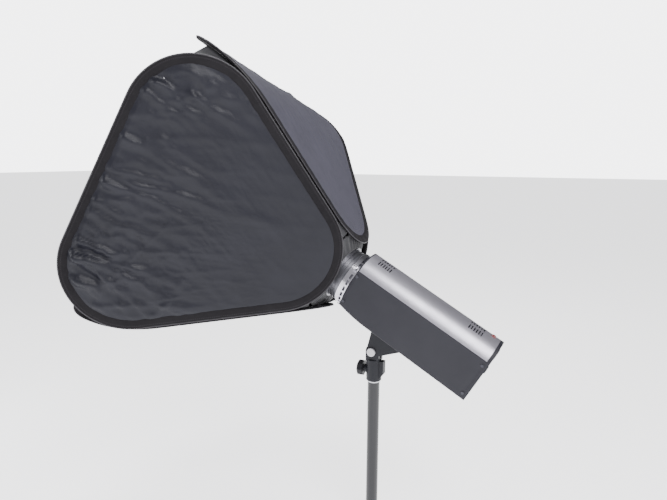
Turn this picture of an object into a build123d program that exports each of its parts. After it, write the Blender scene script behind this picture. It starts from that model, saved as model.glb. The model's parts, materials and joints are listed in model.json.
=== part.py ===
"""Studio softbox on a flash head, with its tilt bracket and the top section of a light stand.

Frame: millimetres, +Z up along the stand tube, origin at the centre of the tube's lower end.  The light
points towards -X and upwards.  The near side of the head is its -Y side.
"""

import os
from math import acos, asin, atan, cos, degrees, radians, sin, sqrt, tan

from build123d import *

# ---------------------------------------------------------------- driving dimensions
CLEAR = 0.3
RUN_CLEAR = 0.06

# stand tube and spigot
TUBE_OD = 30.0
TUBE_WALL = 1.5
TUBE_LENGTH = 368.0
PLUG_LENGTH = 32.0
PLUG_CLEAR = 0.1
SPIGOT_R = 7.94
SPIGOT_LENGTH = 52.0
SPIGOT_FLANGE = 3.7
SPIGOT_GROOVE_R = 6.6
SPIGOT_GROOVE_HEIGHT = 14.0

# tilt bracket on the spigot
PIVOT_ABOVE_SLEEVE = 78.0
SLEEVE_R = 19.0
SLEEVE_LENGTH = 56.0
SLEEVE_ROOF = 3.0
LUG_R = 17.0
LUG_THICK = 30.0
UMBRELLA_R = 4.5
UMBRELLA_DROP = 16.0
RIB_REACH = 27.0
RIB_WIDTH = 18.0
RIB_LENGTH = 44.0
KNOB_DROP = 51.0
KNOB_R = 20.0
KNOB_THICK = 15.0
KNOB_SIDES = 8
LOCK_SCREW_R = 4.0
LOCK_BOSS_R = 10.0
LOCK_BOSS_REACH = 24.0

# yoke under the head
BOLT_R = 5.0
WASHER_R = 13.0
WASHER_THICK = 2.0
CHEEK_THICK = 3.0
CHEEK_R = 14.0
YOKE_PLATE = 4.0
YOKE_WIDTH = 52.0
YOKE_AHEAD = 29.0
YOKE_BEHIND = 65.0
YOKE_LIFT = 60.0
YOKE_SCREW_ACROSS = 10.0
YOKE_SCREW_INSET = 12.0
BOLT_HEAD_R = 8.0
BOLT_HEAD_THICK = 4.0
CAP_R = 10.5
CAP_WALL = 1.8
LEVER_LENGTH = 48.0
LEVER_THICK = 7.0
LEVER_HUB_R = 9.0
LEVER_HUB_LENGTH = 16.0
LEVER_TIP_R = 6.0
TILT_UP = 30.0

# flash head housing
BODY_LENGTH = 362.0
BODY_WIDTH = 116.0
BODY_BELOW_AXIS = 62.0
SIDE_ABOVE_AXIS = 47.0
ARCH_RISE = 37.5
NOSE_LIFT = 9.0
NOSE_LENGTH = 88.0
SHEET = 1.5
COVER_THICK = 2.0
CORNER_R = 3.0
FRONT_FLANGE = 3.0
PLUG_DEPTH = 6.0
REAR_RIM = 8.0
REAR_FACE = 4.0
RING_TO_PIVOT = 139.0
SCREW_R = 2.0
SCREW_HEAD_R = 3.6
VENT_WIDTH = 16.0
VENT_SLOT = 3.0
VENT_PITCH = 6.5

# accessory mount ring on the front of the head
MOUNT_SETBACK = 15.0
MOUNT_R = 70.0
MOUNT_BORE_R = 60.0
MOUNT_BACK_R = 68.0
MOUNT_BACK_BORE_R = 48.0
MOUNT_POSTS = 24
POST_WIDTH = 5.0
CHROME_LENGTH = 12.0
CHROME_AHEAD = 5.0
LUG_COUNT = 3
LUG_HEIGHT = 4.0
LUG_WIDTH = 15.0
PIN_R = 2.0

# softbox adapter ring
INSERT_R = 50.0
INSERT_WALL = 3.0
INSERT_AHEAD = 25.0
RING_R = 66.0
RING_GAP = 1.3
LIP_R = 71.0
LIP_AHEAD = 31.0
LIP_THICK = 3.5
CLAMP_THICK = 2.0
CLAMP_R = 68.5

# softbox
FRONT_SIDE = 850.0
BOX_DEPTH = 584.0
APEX_BACK = 101.5
BOX_DROOP = 4.9
BOX_ROLL = 10.3
HOOP_CORNER_R = 148.0
BEND_START = 465.0
BEND_R = 320.0
BEND_TURN = 40.0
BEND_BOW = 22.0
BEND_CORNER_R = 55.0
BEND_SEAM = 2.0
CASING_WIDTH = 22.0
CASING_THICK = 7.0
HOOP_WIDTH = 8.0
HOOP_THICK = 1.2
HOOP_CLEAR = 0.2
FABRIC = 1.0
LINING = 0.8
GUSSET_THICK = 1.0
GUSSET_START = -40.0
FLAT_GUSSET_ANGLES = (-18.0, 0.0, 18.0, 36.0)
BENT_GUSSET_TURNS = (2.0, 12.0, 22.0, 31.0)
SLEEVE_AHEAD = 44.0
SLEEVE_CLOTH = 2.0
DIFFUSER_RECESS = 62.0
DIFFUSER_THICK = 1.0
DIFFUSER_CORNER_R = 95.0
BAFFLE_SIDE = 300.0
BAFFLE_AHEAD = 250.0
BAFFLE_CORNER_R = 20.0
STRAP_WIDTH = 10.0

# ---------------------------------------------------------------- frames
tilt = radians(TILT_UP)
forward = Vector(-cos(tilt), 0, sin(tilt))
upward = Vector(sin(tilt), 0, cos(tilt))
sleeve_bottom = TUBE_LENGTH + SPIGOT_FLANGE + CLEAR
pivot = Vector(0, 0, sleeve_bottom + PIVOT_ABOVE_SLEEVE)
ring_centre = pivot + forward * RING_TO_PIVOT + upward * (YOKE_LIFT + BODY_BELOW_AXIS)

# head plane: x towards the near side, y up, z forward, origin on the axis inside the chrome ring
HEAD = Plane(origin=ring_centre, x_dir=(0, -1, 0), z_dir=forward)
HEAD_AXIS = Axis(ring_centre, forward)
# half section through the head's axis: x is the radius, y is forward
MERIDIAN = Plane(origin=ring_centre, x_dir=upward, z_dir=upward.cross(forward))
# side views, with x forward, y up and z towards the far side: on the head's axis and on the tilt pivot
SIDE_VIEW = Plane(origin=ring_centre, x_dir=forward, z_dir=(0, 1, 0))
PIVOT_VIEW = Plane(origin=pivot, x_dir=forward, z_dir=(0, 1, 0))
# the softbox hangs a little below the head's axis and is turned a little on its ring
BOX = Plane(HEAD.location * Location((0, 0, 0), (BOX_DROOP, 0, BOX_ROLL)))

front_face = -MOUNT_SETBACK
rear_face = front_face - BODY_LENGTH
shell_front = front_face - FRONT_FLANGE - CLEAR
shell_rear = rear_face + REAR_RIM + CLEAR
inside_half = BODY_WIDTH / 2 - SHEET

os.makedirs("parts", exist_ok=True)


def save(piece, label):
    """Label a finished piece and write it to its own file."""
    piece.part.label = label
    export_step(piece.part, f"parts/{label}.step")


def turned(outline, plane=MERIDIAN, axis=HEAD_AXIS):
    """Solid of revolution from (radius, along) points."""
    with BuildPart() as body:
        with BuildSketch(plane):
            with BuildLine():
                Polyline(*outline, close=True)
            make_face()
        revolve(axis=axis)
    return body.part


def disc(radius, low, high, bore=0.0):
    """Plain ring or disc about the head's axis."""
    if bore > 0:
        return turned([(bore, low), (radius, low), (radius, high), (bore, high)])
    return turned([(0, low), (radius, low), (radius, high), (0, high)])


# ---------------------------------------------------------------- stand tube
tube_r = TUBE_OD / 2
tube_bore_r = tube_r - TUBE_WALL
spigot_top = sleeve_bottom + SPIGOT_LENGTH
knob_height = pivot.Z - KNOB_DROP

with BuildPart() as stand_tube:
    with BuildSketch():
        Circle(tube_r)
        Circle(tube_bore_r, mode=Mode.SUBTRACT)
    extrude(amount=TUBE_LENGTH)
save(stand_tube, "stand_tube")

with BuildPart() as tube_plug:
    with BuildSketch(Plane.XY.offset(1)):
        Circle(tube_bore_r - PLUG_CLEAR)
    extrude(amount=PLUG_LENGTH)
    chamfer(tube_plug.faces().sort_by(Axis.Z)[-1].edges(), 1.5)
save(tube_plug, "tube_plug")

plug_r = tube_bore_r - PLUG_CLEAR
groove_low = knob_height - SPIGOT_GROOVE_HEIGHT / 2
groove_high = knob_height + SPIGOT_GROOVE_HEIGHT / 2
groove_slope = SPIGOT_R - SPIGOT_GROOVE_R
flange_top = TUBE_LENGTH + SPIGOT_FLANGE
spigot_outline = [
    (0, TUBE_LENGTH - PLUG_LENGTH),
    (plug_r, TUBE_LENGTH - PLUG_LENGTH),
    (plug_r, TUBE_LENGTH),
    (tube_r - 0.2, TUBE_LENGTH),
    (tube_r - 0.2, flange_top - 1),
    (tube_r - 1.2, flange_top),
    (SPIGOT_R, flange_top),
    (SPIGOT_R, groove_low),
    (SPIGOT_GROOVE_R, groove_low + groove_slope),
    (SPIGOT_GROOVE_R, groove_high - groove_slope),
    (SPIGOT_R, groove_high),
    (SPIGOT_R, spigot_top - 1.5),
    (SPIGOT_R - 1.5, spigot_top),
    (0, spigot_top),
]
with BuildPart() as spigot:
    add(turned(spigot_outline, Plane.XZ, Axis.Z))
save(spigot, "spigot")

# ---------------------------------------------------------------- bracket sleeve and its lock knob
bore_top = spigot_top + SLEEVE_ROOF
sleeve_top = sleeve_bottom + SLEEVE_LENGTH
with BuildPart() as stand_sleeve:
    with BuildSketch(Plane.XY.offset(sleeve_bottom)):
        Circle(SLEEVE_R)
    extrude(amount=SLEEVE_LENGTH)
    chamfer(stand_sleeve.edges().filter_by(GeomType.CIRCLE), 1.5)
    with BuildSketch(Plane.XZ):
        with Locations((0, pivot.Z)):
            Circle(LUG_R)
        with Locations((0, (sleeve_top - 4 + pivot.Z) / 2)):
            Rectangle(2 * LUG_R, pivot.Z - sleeve_top + 4)
    extrude(amount=LUG_THICK / 2, both=True)
    rib_low = sleeve_bottom + 8
    with BuildSketch(Plane.XZ):
        with BuildLine():
            Polyline(
                (0, rib_low),
                (RIB_REACH - 9, rib_low),
                (RIB_REACH, rib_low + 12),
                (RIB_REACH, rib_low + RIB_LENGTH),
                (0, rib_low + RIB_LENGTH),
                close=True,
            )
        make_face()
    extrude(amount=RIB_WIDTH / 2, both=True)
    with BuildSketch(Plane(origin=(0, 0, knob_height), z_dir=(-1, 0, 0))):
        Circle(LOCK_BOSS_R)
    extrude(amount=LOCK_BOSS_REACH)
    with BuildSketch(Plane.XY.offset(sleeve_bottom)):
        Circle(SPIGOT_R + RUN_CLEAR)
    extrude(amount=bore_top - sleeve_bottom, mode=Mode.SUBTRACT)
    with BuildSketch(Plane(origin=(0, 0, knob_height), z_dir=(-1, 0, 0))):
        Circle(LOCK_SCREW_R + RUN_CLEAR)
    extrude(amount=LOCK_BOSS_REACH, mode=Mode.SUBTRACT)
    with BuildSketch(Plane.XZ):
        with Locations((0, pivot.Z)):
            Circle(BOLT_R + RUN_CLEAR)
    extrude(amount=LUG_THICK, both=True, mode=Mode.SUBTRACT)
    with BuildSketch(Plane(origin=(0, 0, pivot.Z - UMBRELLA_DROP), z_dir=(-1, 0, 0))):
        Circle(UMBRELLA_R)
    extrude(amount=2 * LUG_R, both=True, mode=Mode.SUBTRACT)
save(stand_sleeve, "stand_sleeve")

knob_face = LOCK_BOSS_REACH + 2
with BuildPart() as sleeve_knob:
    with BuildSketch(Plane(origin=(-knob_face, 0, knob_height), z_dir=(-1, 0, 0))):
        RegularPolygon(KNOB_R, KNOB_SIDES)
    extrude(amount=KNOB_THICK)
    chamfer(sleeve_knob.faces().sort_by(Axis.X)[0].edges(), 3)
    chamfer(sleeve_knob.faces().sort_by(Axis.X)[-1].edges(), 1)
    with BuildSketch(Plane(origin=(-knob_face - KNOB_THICK, 0, knob_height), z_dir=(-1, 0, 0))):
        Circle(KNOB_R * 0.45)
    extrude(amount=-2, mode=Mode.SUBTRACT)
save(sleeve_knob, "sleeve_knob")

screw_tip = SPIGOT_GROOVE_R + CLEAR
with BuildPart() as lock_screw:
    with BuildSketch(Plane(origin=(-screw_tip, 0, knob_height), z_dir=(-1, 0, 0))):
        Circle(LOCK_SCREW_R)
    extrude(amount=knob_face - screw_tip)
    chamfer(lock_screw.faces().sort_by(Axis.X)[-1].edges(), 1)
save(lock_screw, "lock_screw")

# ---------------------------------------------------------------- yoke, bolt, cap and lever
washer_face = LUG_THICK / 2 + CLEAR
cheek_inner = washer_face + WASHER_THICK
cheek_outer = cheek_inner + CHEEK_THICK
plate_low = YOKE_LIFT - YOKE_PLATE


def cheek_sketch():
    """One cheek of the yoke: a triangle with a round eye on the pivot."""
    with BuildSketch() as cheek:
        Circle(CHEEK_R)
        with Locations(((YOKE_AHEAD - YOKE_BEHIND) / 2, plate_low - 2)):
            Rectangle(YOKE_AHEAD + YOKE_BEHIND, 4)
        make_hull()
        Circle(BOLT_R + RUN_CLEAR, mode=Mode.SUBTRACT)
    return cheek.sketch


def yoke_screw_places():
    """Places of the yoke's four screws, seen from below: (across, forward of the pivot)."""
    places = (YOKE_AHEAD - YOKE_SCREW_INSET, YOKE_SCREW_INSET - YOKE_BEHIND)
    return [(x, y) for x in (-YOKE_SCREW_ACROSS, YOKE_SCREW_ACROSS) for y in places]


UNDER_PLATE = Plane(origin=pivot + upward * plate_low, x_dir=(0, -1, 0), z_dir=upward)
with BuildPart() as yoke:
    with BuildSketch(UNDER_PLATE):
        with Locations((0, (YOKE_BEHIND - YOKE_AHEAD) / 2)):
            RectangleRounded(YOKE_WIDTH, YOKE_AHEAD + YOKE_BEHIND, 6)
        with Locations(*[(x, -y) for x, y in yoke_screw_places()]):
            Circle(SCREW_R + 0.2, mode=Mode.SUBTRACT)
    extrude(amount=YOKE_PLATE)
    for side in (-1, 1):
        with BuildSketch(PIVOT_VIEW.offset(side * cheek_inner)):
            add(cheek_sketch())
        extrude(amount=side * CHEEK_THICK)
save(yoke, "yoke")

with BuildPart() as yoke_screws:
    with BuildSketch(UNDER_PLATE):
        with Locations(*[(x, -y) for x, y in yoke_screw_places()]):
            Circle(SCREW_HEAD_R)
    extrude(amount=-2.4)
    fillet(yoke_screws.faces().sort_by(Axis(pivot, upward))[0:4].edges(), 1.2)
    with BuildSketch(UNDER_PLATE):
        with Locations(*[(x, -y) for x, y in yoke_screw_places()]):
            Circle(SCREW_R)
    extrude(amount=YOKE_PLATE + SHEET + 3)
save(yoke_screws, "yoke_screws")

with BuildPart() as friction_washers:
    for side in (-1, 1):
        with BuildSketch(PIVOT_VIEW.offset(side * washer_face)):
            Circle(WASHER_R)
            Circle(BOLT_R + 0.1, mode=Mode.SUBTRACT)
        extrude(amount=side * WASHER_THICK)
save(friction_washers, "friction_washers")

stud_end = cheek_outer + LEVER_HUB_LENGTH - 3
with BuildPart() as tilt_bolt:
    with BuildSketch(PIVOT_VIEW.offset(-cheek_outer)):
        Circle(BOLT_R)
    extrude(amount=cheek_outer + stud_end)
    with BuildSketch(PIVOT_VIEW.offset(-cheek_outer)):
        RegularPolygon(BOLT_HEAD_R, 6)
    extrude(amount=-BOLT_HEAD_THICK)
save(tilt_bolt, "tilt_bolt")

with BuildPart() as tilt_cap:
    with BuildSketch(PIVOT_VIEW.offset(-cheek_outer)):
        Circle(CAP_R)
    extrude(amount=-BOLT_HEAD_THICK - CAP_WALL)
    fillet(tilt_cap.faces().sort_by(Axis.Y)[0].edges(), 1.6)
    with BuildSketch(PIVOT_VIEW.offset(-cheek_outer)):
        Circle(CAP_R - CAP_WALL)
    extrude(amount=-BOLT_HEAD_THICK - 0.2, mode=Mode.SUBTRACT)
save(tilt_cap, "tilt_cap")

hub_face = cheek_outer + CLEAR
with BuildPart() as tilt_lever:
    with BuildSketch(PIVOT_VIEW.offset(hub_face)):
        Circle(LEVER_HUB_R)
    extrude(amount=LEVER_HUB_LENGTH)
    with BuildSketch(PIVOT_VIEW.offset(hub_face + LEVER_HUB_LENGTH - LEVER_THICK)):
        Circle(LEVER_HUB_R)
        with Locations((-LEVER_LENGTH * sin(tilt), -LEVER_LENGTH * cos(tilt))):
            Circle(LEVER_TIP_R)
        make_hull()
    extrude(amount=LEVER_THICK)
    chamfer(tilt_lever.faces().sort_by(Axis.Y)[-1].edges(), 1.5)
    with BuildSketch(PIVOT_VIEW.offset(hub_face)):
        Circle(BOLT_R + RUN_CLEAR)
    extrude(amount=LEVER_HUB_LENGTH - 2, mode=Mode.SUBTRACT)
save(tilt_lever, "tilt_lever")

# ---------------------------------------------------------------- flash head housing
bottom = -BODY_BELOW_AXIS
crest = SIDE_ABOVE_AXIS + ARCH_RISE
nose_start = front_face - NOSE_LENGTH


def head_section(inset, floor):
    """Cross-section of the head: flat sides and floor under an arched top."""
    half = BODY_WIDTH / 2 - inset
    with BuildSketch() as section:
        with BuildLine():
            Polyline((-half, SIDE_ABOVE_AXIS), (-half, floor + inset), (half, floor + inset), (half, SIDE_ABOVE_AXIS))
            ThreePointArc((half, SIDE_ABOVE_AXIS), (0, crest - inset), (-half, SIDE_ABOVE_AXIS))
        make_face()
        fillet(section.vertices().group_by(Axis.Y)[0], CORNER_R)
    return section.sketch


def chassis_block(inset, half, top):
    """Solid block under the chassis outline, its floor sweeping up at the nose."""
    floor = bottom + inset
    with BuildPart() as block:
        with BuildSketch(SIDE_VIEW):
            with BuildLine():
                Polyline(
                    (nose_start, floor),
                    (shell_rear - inset, floor),
                    (shell_rear - inset, top),
                    (shell_front + inset, top),
                    (shell_front + inset, floor + NOSE_LIFT),
                )
                TangentArc((nose_start, floor), (shell_front + inset, floor + NOSE_LIFT), tangent=(1, 0))
            make_face()
        extrude(amount=half, both=True)
    return block


def low_side_edges(block):
    """The two long lower edges of a chassis block."""
    edges = [e for e in block.edges() if abs(abs(e.center().Y) - BODY_WIDTH / 2) < 0.01]
    return [e for e in edges if (e.center() - ring_centre).dot(upward) < bottom + NOSE_LIFT + 1]


screw_up = SIDE_ABOVE_AXIS - 14
front_screws = [(front_face - FRONT_FLANGE - PLUG_DEPTH / 2, h) for h in (screw_up, bottom + NOSE_LIFT + 14)]
rear_screws = [(rear_face + REAR_RIM + PLUG_DEPTH / 2, h) for h in (screw_up, bottom + 14)]
side_screw_places = front_screws + rear_screws
cutter = chassis_block(SHEET, inside_half, SIDE_ABOVE_AXIS + 1).part

with BuildPart() as screw_shanks:
    for side in (-1, 1):
        with BuildSketch(SIDE_VIEW.offset(side * BODY_WIDTH / 2)):
            with Locations(*side_screw_places):
                Circle(SCREW_R + 0.1)
        extrude(amount=-side * 10)

outer_block = chassis_block(0, BODY_WIDTH / 2, SIDE_ABOVE_AXIS)
with BuildPart() as chassis:
    add(outer_block.part)
    fillet(low_side_edges(chassis), CORNER_R)
    add(cutter, mode=Mode.SUBTRACT)
    add(screw_shanks.part, mode=Mode.SUBTRACT)
    with BuildSketch(UNDER_PLATE):
        with Locations(*[(x, -y) for x, y in yoke_screw_places()]):
            Circle(SCREW_R + 0.2)
    extrude(amount=YOKE_PLATE + SHEET + 1, mode=Mode.SUBTRACT)
save(chassis, "chassis")

with BuildPart() as side_screws:
    for side in (-1, 1):
        with BuildSketch(SIDE_VIEW.offset(side * BODY_WIDTH / 2)):
            with Locations(*side_screw_places):
                Circle(SCREW_HEAD_R)
        extrude(amount=side * 1.8)
        with BuildSketch(SIDE_VIEW.offset(side * BODY_WIDTH / 2)):
            with Locations(*side_screw_places):
                Circle(SCREW_R)
        extrude(amount=-side * 8)
save(side_screws, "side_screws")

TOP_VIEW = Plane(origin=ring_centre + upward * SIDE_ABOVE_AXIS, x_dir=(0, -1, 0), z_dir=upward)
seam = SIDE_ABOVE_AXIS + CLEAR
sensor_at = rear_face + 26
front_vents = front_face - 44
rear_vents = rear_face + 66
with BuildPart() as top_cover:
    with BuildSketch(HEAD.offset(shell_rear)):
        add(head_section(0, bottom))
        add(head_section(COVER_THICK, bottom), mode=Mode.SUBTRACT)
        with Locations((0, (bottom + seam) / 2 - 1)):
            Rectangle(BODY_WIDTH + 2, seam - bottom + 2, mode=Mode.SUBTRACT)
    extrude(amount=shell_front - shell_rear)
    with BuildSketch(TOP_VIEW):
        for start in (front_vents, rear_vents):
            with Locations((0, -start)):
                with GridLocations(VENT_WIDTH + 5, VENT_PITCH, 3, 6):
                    SlotOverall(VENT_WIDTH, VENT_SLOT)
        with Locations((0, -sensor_at)):
            Circle(6.2)
    extrude(amount=ARCH_RISE + 5, mode=Mode.SUBTRACT)
save(top_cover, "top_cover")

with BuildPart() as slave_sensor:
    with BuildSketch(TOP_VIEW.offset(ARCH_RISE - 5)):
        with Locations((0, -sensor_at)):
            Circle(6)
    extrude(amount=9)
    fillet(slave_sensor.faces().sort_by(Axis(ring_centre, upward))[-1].edges(), 4)
save(slave_sensor, "slave_sensor")

plug_inset = SHEET + 0.6
with BuildPart() as front_plate:
    with BuildSketch(HEAD.offset(front_face - FRONT_FLANGE)):
        add(head_section(0, bottom + NOSE_LIFT))
    extrude(amount=FRONT_FLANGE)
    with BuildSketch(HEAD.offset(front_face - FRONT_FLANGE)):
        add(head_section(plug_inset, bottom + NOSE_LIFT))
    extrude(amount=-PLUG_DEPTH)
    with BuildSketch(HEAD.offset(front_face)):
        Circle(MOUNT_BACK_BORE_R)
    extrude(amount=-FRONT_FLANGE - PLUG_DEPTH, mode=Mode.SUBTRACT)
    add(screw_shanks.part, mode=Mode.SUBTRACT)
save(front_plate, "front_plate")

# ---------------------------------------------------------------- rear panel and its controls
panel_out = rear_face + REAR_RIM - REAR_FACE
panel_in = rear_face + REAR_RIM
DIAL_AT = (0, 52)
LAMP_DIAL_AT = (36, 22)
BUTTON_AT = (-44, 10)
LED_AT = (-42, 34)
ROCKER_AT = (32, -44)
INLET_AT = (-21, -46)
JACK_AT = (40, -6)
DIAL_R = 15.0
LAMP_DIAL_R = 10.0
DIAL_LENGTH = 6.0
SHAFT_R = 3.0
BUTTON_R = 6.0
BUTTON_TRAVEL = 2.5
ROCKER_WIDTH = 18.4
ROCKER_HEIGHT = 11.4
ROCKER_TILT = 8.0
ROCKER_PLAY = 1.2
INLET_WIDTH = 24.0
INLET_HEIGHT = 16.0
INLET_DEPTH = 12.0
JACK_BORE_R = 3.2
JACK_BODY_R = 5.0
JACK_DEPTH = 14.0
JACK_LENGTH = 17.0
REAR = HEAD.offset(panel_out)

with BuildPart() as rear_panel:
    with BuildSketch(HEAD.offset(rear_face)):
        add(head_section(0, bottom))
    extrude(amount=REAR_RIM)
    with BuildSketch(HEAD.offset(rear_face)):
        add(head_section(3.0, bottom))
    extrude(amount=REAR_RIM - REAR_FACE, mode=Mode.SUBTRACT)
    with BuildSketch(HEAD.offset(panel_in)):
        add(head_section(plug_inset, bottom))
        add(head_section(plug_inset + 3, bottom), mode=Mode.SUBTRACT)
    extrude(amount=PLUG_DEPTH)
    with BuildSketch(REAR):
        with Locations(DIAL_AT, LAMP_DIAL_AT):
            Circle(SHAFT_R + RUN_CLEAR)
        with Locations(BUTTON_AT):
            Circle(BUTTON_R + CLEAR)
        with Locations(LED_AT):
            Circle(2.6)
        with Locations(JACK_AT):
            Circle(JACK_BODY_R + 0.1)
        with Locations(ROCKER_AT):
            Rectangle(ROCKER_WIDTH + 2 * CLEAR, ROCKER_HEIGHT + ROCKER_PLAY)
        with Locations(INLET_AT):
            Rectangle(INLET_WIDTH + 3.2, INLET_HEIGHT + 3.2)
        with Locations((0, 3)):
            with GridLocations(1, VENT_PITCH, 1, 6):
                SlotOverall(46, VENT_SLOT)
    extrude(amount=REAR_FACE, mode=Mode.SUBTRACT)
    add(screw_shanks.part, mode=Mode.SUBTRACT)
save(rear_panel, "rear_panel")


def dial(place, radius, flutes):
    """Fluted knob with a pointer groove, on a shaft through the rear panel."""
    with BuildPart() as knob:
        with BuildSketch(REAR.offset(-0.5)):
            with Locations(place):
                Circle(radius)
                with PolarLocations(radius + 0.6, flutes):
                    Circle(1.4, mode=Mode.SUBTRACT)
        extrude(amount=-DIAL_LENGTH, taper=3)
        with BuildSketch(REAR.offset(-0.5 - DIAL_LENGTH)):
            with Locations((place[0], place[1] + radius * 0.55)):
                Rectangle(1.4, radius * 0.5)
        extrude(amount=0.8, mode=Mode.SUBTRACT)
        with BuildSketch(REAR.offset(-0.5)):
            with Locations(place):
                Circle(SHAFT_R)
        extrude(amount=REAR_FACE + 4.5)
    return knob


power_dial = dial(DIAL_AT, DIAL_R, 20)
save(power_dial, "power_dial")
lamp_dial = dial(LAMP_DIAL_AT, LAMP_DIAL_R, 14)
save(lamp_dial, "lamp_dial")

with BuildPart() as test_button:
    with BuildSketch(REAR.offset(-BUTTON_TRAVEL - 1)):
        with Locations(BUTTON_AT):
            Circle(BUTTON_R)
    extrude(amount=BUTTON_TRAVEL + 1 + REAR_FACE + CLEAR)
    with BuildSketch(REAR.offset(REAR_FACE + CLEAR)):
        with Locations(BUTTON_AT):
            Circle(BUTTON_R + 1.5)
    extrude(amount=1.5)
    fillet(test_button.faces().sort_by(Axis(ring_centre, forward))[0].edges(), 1)
save(test_button, "test_button")

with BuildPart() as ready_lamp:
    with BuildSketch(REAR.offset(-1.8)):
        with Locations(LED_AT):
            Circle(2.5)
    extrude(amount=REAR_FACE + 5)
    fillet(ready_lamp.faces().sort_by(Axis(ring_centre, forward))[0].edges(), 1.5)
save(ready_lamp, "ready_lamp")

ROCKER_PLANE = Plane(
    HEAD.location
    * Location((ROCKER_AT[0], ROCKER_AT[1], panel_out + REAR_FACE / 2))
    * Location((0, 0, 0), (-ROCKER_TILT, 0, 0))
)
with BuildPart() as power_rocker:
    with BuildSketch(ROCKER_PLANE.offset(-REAR_FACE / 2 - 2)):
        RectangleRounded(ROCKER_WIDTH, ROCKER_HEIGHT, 1)
    extrude(amount=REAR_FACE + 4)
save(power_rocker, "power_rocker")

inlet_out = -2.0
with BuildPart() as mains_inlet:
    with BuildSketch(REAR.offset(inlet_out)):
        with Locations(INLET_AT):
            RectangleRounded(INLET_WIDTH + 7, INLET_HEIGHT + 7, 3)
    extrude(amount=-inlet_out)
    with BuildSketch(REAR):
        with Locations(INLET_AT):
            Rectangle(INLET_WIDTH + 3, INLET_HEIGHT + 3)
    extrude(amount=INLET_DEPTH)
    with BuildSketch(REAR.offset(inlet_out)):
        with Locations(INLET_AT):
            Rectangle(INLET_WIDTH, INLET_HEIGHT)
    extrude(amount=INLET_DEPTH, mode=Mode.SUBTRACT)
    with BuildSketch(REAR.offset(inlet_out + 3)):
        with Locations(INLET_AT):
            with Locations((-7, -2), (7, -2), (0, 2)):
                Rectangle(2, 4)
    extrude(amount=INLET_DEPTH - 2)
save(mains_inlet, "mains_inlet")

with BuildPart() as sync_jack:
    with BuildSketch(REAR.offset(-2.5)):
        with Locations(JACK_AT):
            Circle(JACK_BODY_R + 2)
    extrude(amount=2.5)
    with BuildSketch(REAR.offset(-2.5)):
        with Locations(JACK_AT):
            Circle(JACK_BODY_R)
    extrude(amount=JACK_LENGTH)
    with BuildSketch(REAR.offset(-2.5)):
        with Locations(JACK_AT):
            Circle(JACK_BORE_R)
    extrude(amount=JACK_DEPTH, mode=Mode.SUBTRACT)
save(sync_jack, "sync_jack")

# ---------------------------------------------------------------- fan
FAN_SIDE = 70.0
FAN_THICK = 15.0
FAN_STANDOFF = 14.0
FAN_HUB_R = 13.0
FAN_BLADES = 7
fan_rear = panel_in + FAN_STANDOFF
fan_bore_r = FAN_SIDE / 2 - 2
with BuildPart() as fan_frame:
    with BuildSketch(HEAD.offset(fan_rear)):
        RectangleRounded(FAN_SIDE, FAN_SIDE, 4)
        Circle(fan_bore_r, mode=Mode.SUBTRACT)
    extrude(amount=FAN_THICK)
    with BuildSketch(HEAD.offset(fan_rear)):
        Circle(FAN_HUB_R)
        with PolarLocations(fan_bore_r / 2, 3, start_angle=90):
            Rectangle(fan_bore_r + 2, 4)
    extrude(amount=2.5)
    with BuildSketch(HEAD.offset(fan_rear)):
        Circle(1.5)
    extrude(amount=FAN_THICK - 3)
    with BuildSketch(HEAD.offset(fan_rear)):
        with GridLocations(FAN_SIDE - 9, FAN_SIDE - 9, 2, 2):
            Circle(3.5)
    extrude(amount=-FAN_STANDOFF)
save(fan_frame, "fan_frame")

with BuildPart() as fan_rotor:
    rotor_low = fan_rear + 3.5
    with BuildSketch(HEAD.offset(rotor_low)):
        Circle(FAN_HUB_R)
    extrude(amount=FAN_THICK - 4)
    with BuildSketch(HEAD.offset(rotor_low + (FAN_THICK - 4) / 2)):
        with PolarLocations((FAN_HUB_R + fan_bore_r) / 2 - 1, FAN_BLADES):
            Rectangle(fan_bore_r - FAN_HUB_R, 1.6)
    extrude(amount=(FAN_THICK - 5) / 2, both=True)
    with BuildSketch(HEAD.offset(rotor_low)):
        Circle(1.5 + RUN_CLEAR)
    extrude(amount=FAN_THICK - 6, mode=Mode.SUBTRACT)
save(fan_rotor, "fan_rotor")

# ---------------------------------------------------------------- electronics, flash tube and lamp
BULKHEAD_AT = front_face - 50
BOARD_AT = front_face - 178
CAPACITOR_R = 17.0
CAPACITOR_LENGTH = 92.0
TUBE_MAJOR_R = 32.0
TUBE_MINOR_R = 4.2
TUBE_LEG_R = 4.8
TUBE_GAP = 40.0
TUBE_AHEAD = 3.0
LAMP_R = 9.0
LAMP_AHEAD = 24.0
LAMP_BASE_R = 11.0
HOLDER_R = 16.0
DISH_R = 46.5
DISH_RIM_AT = front_face - 1.0
DISH_THICK = 1.0
dish_floor = DISH_RIM_AT - 14

with BuildPart() as bulkhead:
    with BuildSketch(HEAD.offset(BULKHEAD_AT)):
        with Locations((0, -2)):
            Rectangle(2 * inside_half - 0.4, 96)
        with GridLocations(90, 76, 2, 2):
            Circle(4, mode=Mode.SUBTRACT)
    extrude(amount=-2)
save(bulkhead, "bulkhead")

lamp_low = BULKHEAD_AT + 4.3
with BuildPart() as modelling_lamp:
    with BuildSketch(HEAD.offset(lamp_low)):
        Circle(LAMP_BASE_R)
    extrude(amount=22)
    with BuildSketch(HEAD.offset(lamp_low)):
        Circle(LAMP_R)
    extrude(amount=LAMP_AHEAD - lamp_low)
    fillet(modelling_lamp.faces().sort_by(Axis(ring_centre, forward))[-1].edges(), LAMP_R - 0.5)
save(modelling_lamp, "modelling_lamp")

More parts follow.
